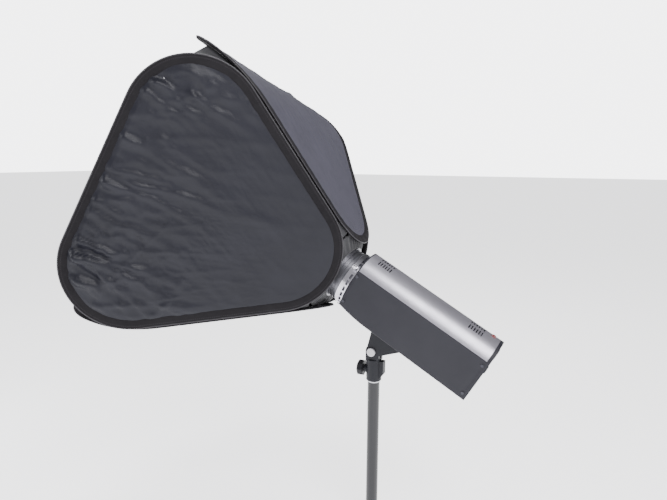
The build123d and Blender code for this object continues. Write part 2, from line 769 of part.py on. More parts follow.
tube_end = radians(TUBE_GAP / 2)
leg_x = TUBE_MAJOR_R * sin(tube_end)
leg_y = -TUBE_MAJOR_R * cos(tube_end)
base_top = BULKHEAD_AT + 14
with BuildPart() as lamp_holder:
    with BuildSketch(HEAD.offset(BULKHEAD_AT)):
        Circle(HOLDER_R)
        with Locations((0, leg_y)):
            RectangleRounded(44, 14, 3)
        with Locations((0, leg_y / 2)):
            Rectangle(14, -leg_y)
    extrude(amount=14)
    with BuildSketch(HEAD.offset(BULKHEAD_AT)):
        Circle(HOLDER_R)
    extrude(amount=20)
    with BuildSketch(HEAD.offset(BULKHEAD_AT + 4)):
        Circle(LAMP_BASE_R + 0.3)
    extrude(amount=20, mode=Mode.SUBTRACT)
save(lamp_holder, "lamp_holder")

with BuildPart() as flash_tube:
    with BuildSketch(Plane(HEAD.location * Location((0, 0, TUBE_AHEAD), (0, 0, -90 + TUBE_GAP / 2)) * Plane.XZ.location)):
        with Locations((TUBE_MAJOR_R, 0)):
            Circle(TUBE_MINOR_R)
    revolve(axis=HEAD_AXIS, revolution_arc=360 - TUBE_GAP)
    with BuildSketch(HEAD.offset(base_top)):
        with Locations((-leg_x, leg_y), (leg_x, leg_y)):
            Circle(TUBE_LEG_R)
    extrude(amount=TUBE_AHEAD + TUBE_LEG_R - base_top)
save(flash_tube, "flash_tube")

dish_hole = HOLDER_R - 2
dish_outline = [
    (dish_hole, dish_floor),
    (DISH_R - 10, dish_floor),
    (DISH_R, DISH_RIM_AT),
    (DISH_R, DISH_RIM_AT + DISH_THICK),
    (DISH_R - 1, DISH_RIM_AT + DISH_THICK),
    (DISH_R - 11, dish_floor + DISH_THICK),
    (dish_hole, dish_floor + DISH_THICK),
]
with BuildPart() as reflector_dish:
    add(turned(dish_outline))
    with BuildSketch(HEAD.offset(dish_floor)):
        with Locations((-leg_x, leg_y), (leg_x, leg_y)):
            Circle(TUBE_LEG_R + 0.6)
    extrude(amount=LAMP_BASE_R, mode=Mode.SUBTRACT)
save(reflector_dish, "reflector_dish")

with BuildPart() as circuit_board:
    with BuildSketch(HEAD.offset(BOARD_AT)):
        with Locations((0, -8)):
            Rectangle(2 * inside_half - 0.4, 92)
    extrude(amount=-1.6)
save(circuit_board, "circuit_board")

with BuildPart() as capacitors:
    with BuildSketch(HEAD.offset(BOARD_AT)):
        with Locations((0, -8)):
            with GridLocations(46, 40, 2, 2):
                Circle(CAPACITOR_R)
    extrude(amount=CAPACITOR_LENGTH)
    tops = capacitors.faces().sort_by(Axis(ring_centre, forward))[-4:]
    chamfer(tops.edges(), 1.5)
save(capacitors, "capacitors")

# ---------------------------------------------------------------- accessory mount on the head
chrome_low = CHROME_AHEAD - CHROME_LENGTH
back_top = front_face + 3
with BuildPart() as mount_ring:
    add(disc(MOUNT_BACK_R, front_face, back_top, MOUNT_BACK_BORE_R))
    add(disc(MOUNT_R, chrome_low, CHROME_AHEAD, MOUNT_BORE_R))
    post_r = (MOUNT_BORE_R + MOUNT_BACK_R) / 2
    with BuildSketch(HEAD.offset(back_top)):
        with PolarLocations(post_r, MOUNT_POSTS):
            Rectangle(MOUNT_BACK_R - MOUNT_BORE_R - 2, POST_WIDTH)
    extrude(amount=chrome_low - back_top)
    chamfer(mount_ring.faces().sort_by(Axis(ring_centre, forward))[-1].outer_wire().edges(), 1.2)
    with BuildSketch(Plane(origin=ring_centre + forward * (chrome_low + 6), z_dir=-upward)):
        Circle(PIN_R + RUN_CLEAR)
    extrude(amount=MOUNT_R + 5, mode=Mode.SUBTRACT)
save(mount_ring, "mount_ring")

socket_r = MOUNT_BORE_R - 0.3
socket_bore_r = INSERT_R + 0.2
groove_r = INSERT_R + LUG_HEIGHT + 0.6
lug_low = back_top + 3.0
lug_high = lug_low + 4.0
with BuildPart() as bayonet_socket:
    socket_outline = [
        (socket_bore_r, back_top),
        (socket_r, back_top),
        (socket_r, CHROME_AHEAD),
        (socket_bore_r, CHROME_AHEAD),
        (socket_bore_r, lug_high + CLEAR),
        (groove_r, lug_high + CLEAR),
        (groove_r, lug_low - CLEAR),
        (socket_bore_r, lug_low - CLEAR),
    ]
    add(turned(socket_outline))
    with BuildSketch(HEAD.offset(lug_high)):
        with PolarLocations(groove_r - 5, LUG_COUNT, start_angle=90):
            Rectangle(10, LUG_WIDTH + 1)
    extrude(amount=CHROME_AHEAD - lug_high + 1, mode=Mode.SUBTRACT)
    with BuildSketch(Plane(origin=ring_centre + forward * (chrome_low + 6), z_dir=-upward)):
        Circle(PIN_R + RUN_CLEAR)
    extrude(amount=MOUNT_R, mode=Mode.SUBTRACT)
save(bayonet_socket, "bayonet_socket")

insert_low = lug_low
flange_low = INSERT_AHEAD - 3
with BuildPart() as bayonet_insert:
    insert_outline = [
        (INSERT_R - INSERT_WALL, insert_low),
        (INSERT_R, insert_low),
        (INSERT_R, flange_low),
        (RING_R - 6.6, flange_low),
        (RING_R - 6.6, INSERT_AHEAD),
        (INSERT_R - INSERT_WALL, INSERT_AHEAD),
    ]
    add(turned(insert_outline))
    with BuildSketch(HEAD.offset(lug_low)):
        with PolarLocations(INSERT_R - 1 + (LUG_HEIGHT + 1) / 2, LUG_COUNT, start_angle=30):
            Rectangle(LUG_HEIGHT + 1, LUG_WIDTH)
    extrude(amount=lug_high - lug_low)
    with BuildSketch(Plane(origin=ring_centre + forward * (chrome_low + 6), z_dir=-upward)):
        Circle(PIN_R + 0.4)
    extrude(amount=MOUNT_R, mode=Mode.SUBTRACT)
save(bayonet_insert, "bayonet_insert")

PIN_PLANE = Plane(origin=ring_centre + forward * (chrome_low + 6), x_dir=(0, -1, 0), z_dir=-upward)
with BuildPart() as release_pin:
    with BuildSketch(PIN_PLANE.offset(INSERT_R - 2)):
        Circle(PIN_R)
    extrude(amount=MOUNT_R + 1 - INSERT_R + 2)
    with BuildSketch(PIN_PLANE.offset(MOUNT_R + 0.5)):
        Circle(4.5)
    extrude(amount=8)
    chamfer(release_pin.faces().sort_by(Axis(ring_centre, upward))[0].edges(), 1)
save(release_pin, "release_pin")

# ---------------------------------------------------------------- softbox adapter ring
ring_low = CHROME_AHEAD + RING_GAP
ring_bore_r = INSERT_R + RUN_CLEAR
seat_top = flange_low - CLEAR
wide_bore_r = RING_R - 6
lip_low = LIP_AHEAD - LIP_THICK
with BuildPart() as speed_ring:
    ring_outline = [
        (ring_bore_r, ring_low),
        (RING_R, ring_low),
        (RING_R, ring_low + 5.5),
        (RING_R - 1.4, ring_low + 6),
        (RING_R - 1.4, ring_low + 7.5),
        (RING_R, ring_low + 8),
        (RING_R, ring_low + 14),
        (RING_R - 2, ring_low + 14.5),
        (RING_R - 2, ring_low + 16.5),
        (RING_R + 1, ring_low + 17),
        (RING_R + 1, lip_low),
        (LIP_R, lip_low),
        (LIP_R, LIP_AHEAD),
        (wide_bore_r, LIP_AHEAD),
        (wide_bore_r, seat_top),
        (ring_bore_r, seat_top),
    ]
    add(turned(ring_outline))
save(speed_ring, "speed_ring")

clamp_inner = wide_bore_r + 0.5
with BuildPart() as clamp_ring:
    add(disc(CLAMP_R, LIP_AHEAD, LIP_AHEAD + CLAMP_THICK, clamp_inner))
save(clamp_ring, "clamp_ring")

with BuildPart() as clamp_screws:
    with BuildSketch(HEAD.offset(LIP_AHEAD + CLAMP_THICK)):
        with PolarLocations((CLAMP_R + clamp_inner) / 2, 8):
            Circle(2.4)
    extrude(amount=1.6)
save(clamp_screws, "clamp_screws")

# ---------------------------------------------------------------- softbox geometry
half_side = FRONT_SIDE / 2
face_height = sqrt(BOX_DEPTH**2 + half_side**2)
slope = atan(half_side / BOX_DEPTH)
flank = sqrt(half_side**2 + face_height**2)
in_radius = half_side * face_height / (half_side + flank)
in_height = face_height - in_radius
# the casings of neighbouring panels meet at the bisector of their two planes
half_dihedral = acos(-sin(slope) ** 2) / 2
edge_inset = CASING_THICK / 2 / tan(half_dihedral) + CLEAR
casing_inner = edge_inset + CASING_WIDTH
hoop_outer = edge_inset + (CASING_WIDTH - HOOP_WIDTH) / 2
PANELS = {"near": 0, "top": 90, "far": 180, "bottom": 270}


def panel_plane(turn):
    """Plane of one side panel: origin at the sharp apex, y towards the front edge, z outwards."""
    spin = BOX.location * Location((0, 0, -APEX_BACK), (0, 0, turn))
    lean = Plane(origin=(0, 0, 0), x_dir=(0, 1, 0), z_dir=(cos(slope), 0, -sin(slope)))
    return Plane(spin * lean.location)


def triangle(inset):
    """Corners of a panel's triangle, its sides moved inwards: apex first, then the two front corners."""
    keep = 1 - inset / in_radius
    front = face_height - inset
    return [(0, in_height * (1 - keep)), (half_side * keep, front), (-half_side * keep, front)]


def panel_face(outer, inner=None):
    """Sketch of a rounded triangle, or of the band between two of them."""
    with BuildSketch() as face:
        Polygon(*triangle(outer), align=None)
        fillet(face.vertices(), HOOP_CORNER_R - outer)
        if inner is not None:
            with BuildSketch(mode=Mode.PRIVATE) as hole:
                Polygon(*triangle(inner), align=None)
                fillet(hole.vertices(), HOOP_CORNER_R - inner)
            add(hole.sketch, mode=Mode.SUBTRACT)
    return face.sketch


def panel_slab(plane, outer, inner, low, high):
    """Solid between two heights above a panel's plane."""
    with BuildPart() as slab:
        with BuildSketch(plane.offset(low)):
            add(panel_face(outer, inner))
        extrude(amount=high - low)
    return slab


def bent_point(turn, inset):
    """Where a bent panel's side seam passes, turn degrees round its bend, seen square to the panel."""
    across = BEND_START * sin(slope) + BEND_R * (cos(radians(turn) - slope) - cos(slope))
    return (across - inset, BEND_START + BEND_R * sin(radians(turn)))


def bent_face(inset):
    """Outline of a bent panel seen square to its flat part, its edges moved inwards."""
    turns = (0, BEND_TURN / 3, 2 * BEND_TURN / 3, BEND_TURN)
    seam = [bent_point(turn, (inset + BEND_SEAM) / cos(edge_half)) for turn in turns]
    across, front = seam[-1][0], seam[-1][1] - inset
    seam[-1] = (across, front)
    tip = (inset + BEND_SEAM) / sin(edge_half)
    with BuildSketch() as face:
        for side in (1, -1):
            with BuildSketch(mode=Mode.PRIVATE) as half:
                with BuildLine():
                    Line((0, tip), (side * seam[0][0], seam[0][1]))
                    Spline(*[(side * x, y) for x, y in seam])
                    middle = (side * across * 0.55, front + BEND_BOW * 0.7)
                    ThreePointArc((side * across, front), middle, (0, front + BEND_BOW))
                    Line((0, front + BEND_BOW), (0, tip))
                make_face()
            add(half.sketch)
        corners = face.vertices().filter_by(lambda v: abs(v.X) > across - 1 and v.Y > front - 1)
        fillet(corners, BEND_CORNER_R - inset)
        fillet(face.vertices().sort_by(Axis.Y)[0], HOOP_CORNER_R - inset)
    return face.sketch


def bent_shell(plane, outer, inner, low, high):
    """Solid between two heights above a bent panel, between two of its outlines."""
    side = Plane(plane.location * Plane(origin=(0, 0, 0), x_dir=(0, 1, 0), z_dir=(1, 0, 0)).location)
    with BuildPart() as shell:
        with BuildSketch(side):
            with Locations((BEND_START / 2, (low + high) / 2)):
                Rectangle(BEND_START, high - low)
            with Locations((BEND_START, -BEND_R)):
                Circle(BEND_R + high)
                Circle(BEND_R + low, mode=Mode.SUBTRACT)
            with Locations((BEND_START / 2, -BEND_R)):
                Rectangle(BEND_START, 2 * BEND_R + 2 * low, mode=Mode.SUBTRACT)
        extrude(amount=half_side, both=True)
        with BuildSketch(plane.offset(-BEND_R / 2)):
            add(bent_face(outer))
            if inner is not None:
                add(bent_face(inner), mode=Mode.SUBTRACT)
        extrude(amount=BEND_R, mode=Mode.INTERSECT)
    return shell


def panel_layer(turn, outer, inner, low, high):
    """Layer of one panel: flat for the near and far panels, bent inwards for the top and bottom ones."""
    layer = panel_slab if turn % 180 == 0 else bent_shell
    return layer(panel_plane(turn), outer, inner, low, high)


edge_half = atan(sin(slope))
half_hoop = HOOP_THICK / 2
channel = half_hoop + HOOP_CLEAR
channel_outer = hoop_outer - HOOP_CLEAR
channel_inner = hoop_outer + HOOP_WIDTH + HOOP_CLEAR
for name, turn in PANELS.items():
    save(panel_layer(turn, casing_inner, None, 0, FABRIC), f"side_panel_{name}")
    save(panel_layer(turn, hoop_outer, hoop_outer + HOOP_WIDTH, -half_hoop, half_hoop), f"spring_hoop_{name}")
    with BuildPart() as casing:
        add(panel_layer(turn, edge_inset, casing_inner, -CASING_THICK / 2, CASING_THICK / 2).part)
        add(panel_layer(turn, channel_outer, channel_inner, -channel, channel).part, mode=Mode.SUBTRACT)
    save(casing, f"hoop_casing_{name}")

with BuildPart() as silver_linings:
    for turn in PANELS.values():
        add(panel_layer(turn, casing_inner, None, -LINING, 0).part)
save(silver_linings, "silver_linings")


def diagonal_point(x, y):
    """A panel's point carried square across to the plane through the box's corner: (out, along)."""
    return ((y * sin(slope) + x) / sqrt(2), -APEX_BACK + y * cos(slope))


def corner_arc(centre, radius, start, end):
    """Three points on the projection of one hoop corner, from angle start to angle end."""
    angles = [radians(a) for a in (start, (start + end) / 2, end)]
    return [diagonal_point(centre[0] + radius * cos(a), centre[1] + radius * sin(a)) for a in angles]


def corner_reach(centre, radius, level):
    """Angle and distance out along the diagonal where a hoop corner passes a level of the box."""
    rise = ((level + APEX_BACK) / cos(slope) - centre[1]) / radius
    angle = asin(rise)
    out = diagonal_point(centre[0] + radius * cos(angle), centre[1] + radius * rise)[0]
    return degrees(angle), out


def wall_half(level, gap):
    """Half the width of the space inside the four panels at a level, gap in from their planes."""
    return (level + APEX_BACK) * tan(slope) - gap / cos(slope)


def pyramid(gap):
    """The space inside the four panels' planes, gap in from each."""
    tip = -APEX_BACK + gap / sin(slope)
    with BuildPart() as inside:
        for level in (tip + 5.0, BOX_DEPTH - APEX_BACK + 60.0):
            with BuildSketch(BOX.offset(level)):
                width = 2 * (level - tip) * tan(slope)
                Rectangle(width, width)
        loft(ruled=True)
    return inside.part


cloth_gap = CASING_THICK / 2 + CLEAR
band_inset = edge_inset + CASING_WIDTH / 2
band_r = HOOP_CORNER_R - band_inset
front_centre = (half_side * (1 - HOOP_CORNER_R / in_radius), face_height - HOOP_CORNER_R)
rear_centre = (0, in_height * HOOP_CORNER_R / in_radius)
inner_band_r = band_r - GUSSET_THICK - 2 * CLEAR
sleeve_angle, sleeve_reach = corner_reach(rear_centre, inner_band_r, SLEEVE_AHEAD)

with BuildPart() as rear_corner_gussets:
    for turn in PANELS.values():
        corner = BOX.location * Location((0, 0, 0), (0, 0, turn + 45))
        across = Plane(corner * Plane(origin=(0, 0, 0), x_dir=(1, 0, 0), z_dir=(0, -1, 0)).location)
        outer = corner_arc(rear_centre, band_r, GUSSET_START, sleeve_angle + 0.5)
        inner = corner_arc(rear_centre, band_r - GUSSET_THICK, GUSSET_START, sleeve_angle + 0.5)
        with BuildSketch(across):
            with BuildLine():
                ThreePointArc(*outer)
                ThreePointArc(*inner)
                Line(outer[0], inner[0])
                Line(outer[2], inner[2])
            make_face()
        extrude(amount=half_side, both=True)
    add(pyramid(cloth_gap), mode=Mode.INTERSECT)
save(rear_corner_gussets, "rear_corner_gussets")

# the front gussets run from a flat panel's rounded corner across to the bent panel's side seam
gusset_depth = cloth_gap + GUSSET_THICK / 2 + CLEAR


def flat_seam(angle):
    """Point under the casing of the near panel's front corner, in the box's own frame."""
    x = front_centre[0] + band_r * cos(radians(angle))
    y = front_centre[1] + band_r * sin(radians(angle))
    return (y * sin(slope) - gusset_depth * cos(slope), x, y * cos(slope) + gusset_depth * sin(slope) - APEX_BACK)


def bent_seam(turn):
    """Point under the casing of the top panel's side, in the box's own frame."""
    across = bent_point(turn, (band_inset + BEND_SEAM) / cos(edge_half))[0]
    lean = slope - radians(turn)
    out = BEND_START * sin(slope) + BEND_R * (cos(lean) - cos(slope)) - gusset_depth * cos(lean)
    along = BEND_START * cos(slope) + BEND_R * (sin(slope) - sin(lean)) + gusset_depth * sin(lean) - APEX_BACK
    return (across, out, along)


flat_edge = Spline(*[flat_seam(angle) for angle in FLAT_GUSSET_ANGLES])
bent_edge = Spline(*[bent_seam(turn) for turn in BENT_GUSSET_TURNS])
gusset = Solid.thicken(Face.make_surface_from_curves(flat_edge.edge(), bent_edge.edge()), GUSSET_THICK / 2)
with BuildPart() as front_corner_gussets:
    add(gusset)
    mirror(about=Plane.XZ)
    mirror(about=Plane.YZ)
front_corner_gussets.part = front_corner_gussets.part.moved(BOX.location)
save(front_corner_gussets, "front_corner_gussets")

# ---------------------------------------------------------------- rear sleeve, diffuser and baffle
sleeve_width = 2 * wall_half(SLEEVE_AHEAD, cloth_gap)
sleeve_corner = (sleeve_width / sqrt(2) - sleeve_reach) / (sqrt(2) - 1)


def sleeve_loft(inset):
    """Cone of cloth from the adapter ring's lip out to the four panels."""
    with BuildPart() as cone:
        with BuildSketch(HEAD.offset(LIP_AHEAD)):
            Circle(LIP_R - inset)
        with BuildSketch(BOX.offset(SLEEVE_AHEAD)):
            RectangleRounded(sleeve_width - 2 * inset, sleeve_width - 2 * inset, sleeve_corner - inset)
        loft()
    return cone.part


with BuildPart() as rear_sleeve:
    add(sleeve_loft(0))
    add(sleeve_loft(SLEEVE_CLOTH), mode=Mode.SUBTRACT)
save(rear_sleeve, "rear_sleeve")

front_level = BOX_DEPTH - APEX_BACK
diffuser_level = front_level - DIFFUSER_RECESS
flat_reach = wall_half(diffuser_level, cloth_gap)
bent_lean = asin(sin(slope) - (diffuser_level + APEX_BACK - BEND_START * cos(slope)) / BEND_R)
bent_reach = BEND_START * sin(slope) + BEND_R * (cos(bent_lean) - cos(slope)) - cloth_gap / cos(bent_lean)
with BuildPart() as front_diffuser:
    with BuildSketch(BOX.offset(diffuser_level)):
        RectangleRounded(2 * (flat_reach - CLEAR), 2 * (bent_reach - CLEAR), DIFFUSER_CORNER_R)
    extrude(amount=DIFFUSER_THICK)
save(front_diffuser, "front_diffuser")

with BuildPart() as inner_baffle:
    with BuildSketch(BOX.offset(BAFFLE_AHEAD)):
        RectangleRounded(BAFFLE_SIDE, BAFFLE_SIDE, BAFFLE_CORNER_R)
    extrude(amount=DIFFUSER_THICK)
save(inner_baffle, "inner_baffle")

strap_end = wall_half(BAFFLE_AHEAD, cloth_gap) * sqrt(2) - STRAP_WIDTH / 2 - 1
strap_start = BAFFLE_SIDE / sqrt(2) - BAFFLE_CORNER_R
with BuildPart() as baffle_straps:
    with BuildSketch(BOX.offset(BAFFLE_AHEAD + DIFFUSER_THICK)):
        with PolarLocations((strap_start + strap_end) / 2, 4, start_angle=45):
            Rectangle(strap_end - strap_start, STRAP_WIDTH)
    extrude(amount=LINING)
save(baffle_straps, "baffle_straps")
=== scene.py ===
"""Studio flash head with a fold-out softbox on the top tube of its stand: looks, light and camera."""

import json
import logging
from collections.abc import Callable
from dataclasses import dataclass, field
from enum import Enum
from math import atan, cos, degrees, hypot, pi, radians, sin, tan

import bpy
import numpy as np
from mathutils import Matrix, Vector


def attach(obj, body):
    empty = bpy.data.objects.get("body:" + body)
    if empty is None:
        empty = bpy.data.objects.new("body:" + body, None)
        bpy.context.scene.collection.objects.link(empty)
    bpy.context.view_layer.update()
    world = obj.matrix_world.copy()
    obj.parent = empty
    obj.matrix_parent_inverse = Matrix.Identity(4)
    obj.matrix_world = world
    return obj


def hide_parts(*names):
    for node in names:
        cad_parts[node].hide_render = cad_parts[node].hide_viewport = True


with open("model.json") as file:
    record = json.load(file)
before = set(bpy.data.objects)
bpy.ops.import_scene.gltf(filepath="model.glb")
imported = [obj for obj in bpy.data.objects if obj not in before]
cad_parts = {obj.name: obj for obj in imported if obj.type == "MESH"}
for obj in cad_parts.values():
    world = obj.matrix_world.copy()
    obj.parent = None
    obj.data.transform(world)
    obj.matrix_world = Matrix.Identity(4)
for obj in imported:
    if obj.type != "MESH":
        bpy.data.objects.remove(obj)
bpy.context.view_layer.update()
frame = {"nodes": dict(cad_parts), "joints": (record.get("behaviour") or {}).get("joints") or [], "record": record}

log = logging.getLogger("softbox")
logging.basicConfig(level=logging.INFO, format="%(message)s")

MM = 0.001
Colour = tuple[float, float, float]
Curve = np.ndarray

# Tape and weave, in metres or per metre
STITCHES_PER_METRE = 240.0
TAPE_STITCH_GAP = 0.0176
STITCH_DASH = 0.62
STITCH_HALF_WIDTH = 0.07
STITCH_RISE = 2.5
WEAVE_NOISE_SCALE = 260.0
WEAVE_NOISE_AMOUNT = 0.8

# Patches, smears and bumps of every finish
PATCH_LIMITS = (0.35, 0.7)
PATCH_GLOSS = 0.04
SMEAR_RATIO = 7.0
SMEAR_GLOSS = 0.35
BUMP_STRENGTH = 0.6

# Cloth thicknesses in metres
SKIN_THICKNESS = 0.0006
LINING_THICKNESS = 0.0004
SLEEVE_THICKNESS = 0.0012

# A sheet's grid starts this far from its middle, as a share of the way to its rim
INNERMOST_RING = 0.012
INNERMOST_LEVEL_RING = 0.01
QUIET_RIM = 0.05
QUIET_LEVEL_RIM = 0.04


# ---------------------------------------------------------------- shader building
class Signal:
    """A node's output that joins with others through Python's own operators."""

    def __init__(self, bench: "Bench", socket: bpy.types.NodeSocket) -> None:
        """Wraps one output socket of a bench's node tree."""
        self.bench = bench
        self.socket = socket

    def _join(self, operation: str, first: "Signal | float", second: "Signal | float") -> "Signal":
        """Adds a Math node of two values and returns its output."""
        return self.bench.node("ShaderNodeMath", {"operation": operation}, {0: first, 1: second})

    def __add__(self, other: "Signal | float") -> "Signal":
        """Sum."""
        return self._join("ADD", self, other)

    def __sub__(self, other: "Signal | float") -> "Signal":
        """Difference."""
        return self._join("SUBTRACT", self, other)

    def __rsub__(self, other: float) -> "Signal":
        """Difference from a number."""
        return self._join("SUBTRACT", other, self)

    def __mul__(self, other: "Signal | float") -> "Signal":
        """Product."""
        return self._join("MULTIPLY", self, other)

    def __lt__(self, other: float) -> "Signal":
        """One where the value is below a limit, else nought."""
        return self._join("LESS_THAN", self, other)

    __radd__ = __add__
    __rmul__ = __mul__

    def only(self, operation: str) -> "Signal":
        """Passes the value through a one-input Math operation.

        Args:
            operation: Name of the Math node's operation, such as SINE or FRACT.

        Returns:
            The operation's output.
        """
        return self.bench.node("ShaderNodeMath", {"operation": operation}, {0: self})


class Bench:
    """A material's node tree and the one method that adds nodes to it."""

    def __init__(self, name: str) -> None:
        """Starts an empty material with its output node."""
        self.material = bpy.data.materials.new(name)
        self.material.use_nodes = True
        self.tree = self.material.node_tree
        self.tree.nodes.clear()

    def node(self, kind: str, settings: dict | None = None, sockets: dict | None = None,
             output: int | str = 0) -> Signal:
        """Adds a node.

        Args:
            kind: The node's type.
            settings: Properties set before anything is joined; stops fills a colour ramp.
            sockets: Values or signals for the inputs, by name or number.
            output: The output that is returned.

        Returns:
            The chosen output as a signal.
        """
        made = self.tree.nodes.new(kind)
        for name, value in (settings or {}).items():
            if name == "stops":
                ramp = made.color_ramp
                for element, (place, shade) in zip(ramp.elements, value):
                    element.position = place
                    element.color = (shade, shade, shade, 1.0)
            else:
                setattr(made, name, value)
        for key, value in (sockets or {}).items():
            if isinstance(value, Signal):
                self.tree.links.new(value.socket, made.inputs[key])
            else:
                made.inputs[key].default_value = value
        return Signal(self, made.outputs[output]) if made.outputs else Signal(self, None)

    def noise(self, vector: Signal, scale: float, detail: float = 3.0) -> Signal:
        """Noise from nought to one at a number of cells per metre."""
        return self.node("ShaderNodeTexNoise", {}, {"Vector": vector, "Scale": scale, "Detail": detail})

    def ramp(self, value: Signal, low: float, high: float) -> Signal:
        """Stretches the values between two limits over nought to one."""
        return self.node("ShaderNodeValToRGB", {"stops": ((low, 0.0), (high, 1.0))}, {"Fac": value})

    def blend(self, factor: Signal, first: Colour | Signal, second: Colour) -> Signal:
        """Mixes two colours by a factor."""
        start = first if isinstance(first, Signal) else (*first, 1.0)
        return self.node("ShaderNodeMix", {"data_type": "RGBA"}, {0: factor, 6: start, 7: (*second, 1.0)}, 2)


class Pattern(Enum):
    """How a finish's relief is laid on its surface."""

    SPECKLE = "fine sprayed texture"
    BRUSHED = "lines drawn along one direction"
    SMOOTH = "polished, with faint smears"
    WOVEN = "crossing threads on the piece's UV map"
    TAPE = "ribbed tape with two stitch lines on the piece's UV map"


@dataclass(frozen=True)
class Finish:
    """One surface finish: its colours, gloss and relief, lengths in metres."""

    colour: Colour
    patch: Colour
    roughness: float
    pattern: Pattern = Pattern.SPECKLE
    metallic: float = 0.0
    patch_scale: float = 12.0
    patch_amount: float = 0.6
    grain_scale: float = 900.0
    grain_depth: float = 0.00015
    drawn: Colour = (1.0, 1.0, 1.0)
    coat: float = 0.0
    sheen: float = 0.0
    glass: float = 0.0
    shine: float = 0.5
    stitch_colour: Colour = (0.09, 0.085, 0.09)

    def relief(self, bench: Bench, place: Signal) -> tuple[Signal, Signal | None]:
        """Builds the height pattern.

        Args:
            bench: The material's bench.
            place: Object coordinates.

        Returns:
            The height signal, and a mask of the stitches where the pattern has them.
        """
        if self.pattern in (Pattern.WOVEN, Pattern.TAPE):
            flat = bench.node("ShaderNodeTexCoord", output="UV")
            parts = bench.node("ShaderNodeSeparateXYZ", {}, {0: flat})
            across = Signal(bench, parts.socket.node.outputs[1])
            threads = 2 * pi * self.grain_scale
            warp = (parts * threads).only("SINE")
            weft = (across * threads).only("SINE")
            uneven = bench.noise(flat, WEAVE_NOISE_SCALE) * WEAVE_NOISE_AMOUNT
            height = warp * weft * 0.5 + 0.5 + uneven
            if self.pattern is Pattern.WOVEN:
                return height, None
            dash = (parts * STITCHES_PER_METRE).only("FRACT") < STITCH_DASH
            row = (across * (1 / TAPE_STITCH_GAP)).only("FRACT")
            stitches = ((row - 0.5).only("ABSOLUTE") < STITCH_HALF_WIDTH) * dash
            return height * 0.5 + stitches * STITCH_RISE, stitches
        mapped = bench.node("ShaderNodeMapping", {}, {"Vector": place, "Scale": self.drawn})
        return bench.noise(mapped, self.grain_scale, 2.0), None

    def material(self, name: str) -> bpy.types.Material:
        """Builds the finish as a node material.

        Args:
            name: The material's name.

        Returns:
            The new material.
        """
        bench = Bench(name)
        place = bench.node("ShaderNodeTexCoord", output="Object")
        patches = bench.ramp(bench.noise(place, self.patch_scale), *PATCH_LIMITS)
        smears = bench.noise(place, self.patch_scale * SMEAR_RATIO, 5.0)
        height, stitches = self.relief(bench, place)
        colour = bench.blend(patches * self.patch_amount, self.colour, self.patch)
        if stitches is not None:
            colour = bench.blend(stitches, colour, self.stitch_colour)
        smeared = (smears - 0.5) * (SMEAR_GLOSS * self.roughness)
        gloss = self.roughness + smeared + (patches - 0.5) * PATCH_GLOSS
        bump = bench.node("ShaderNodeBump", {}, {"Height": height, "Strength": BUMP_STRENGTH,
                                                 "Distance": self.grain_depth})
        shader = bench.node(
            "ShaderNodeBsdfPrincipled",
            {},
            {
                "Base Color": colour,
                "Roughness": gloss,
                "Metallic": self.metallic,
                "Coat Weight": self.coat,
                "Sheen Weight": self.sheen,
                "Transmission Weight": self.glass,
                "Specular IOR Level": self.shine,
                "Normal": bump,
            },
        )
        bench.node("ShaderNodeOutputMaterial", {}, {"Surface": shader})
        bench.material.diffuse_color = (*self.colour, 1.0)
        return bench.material


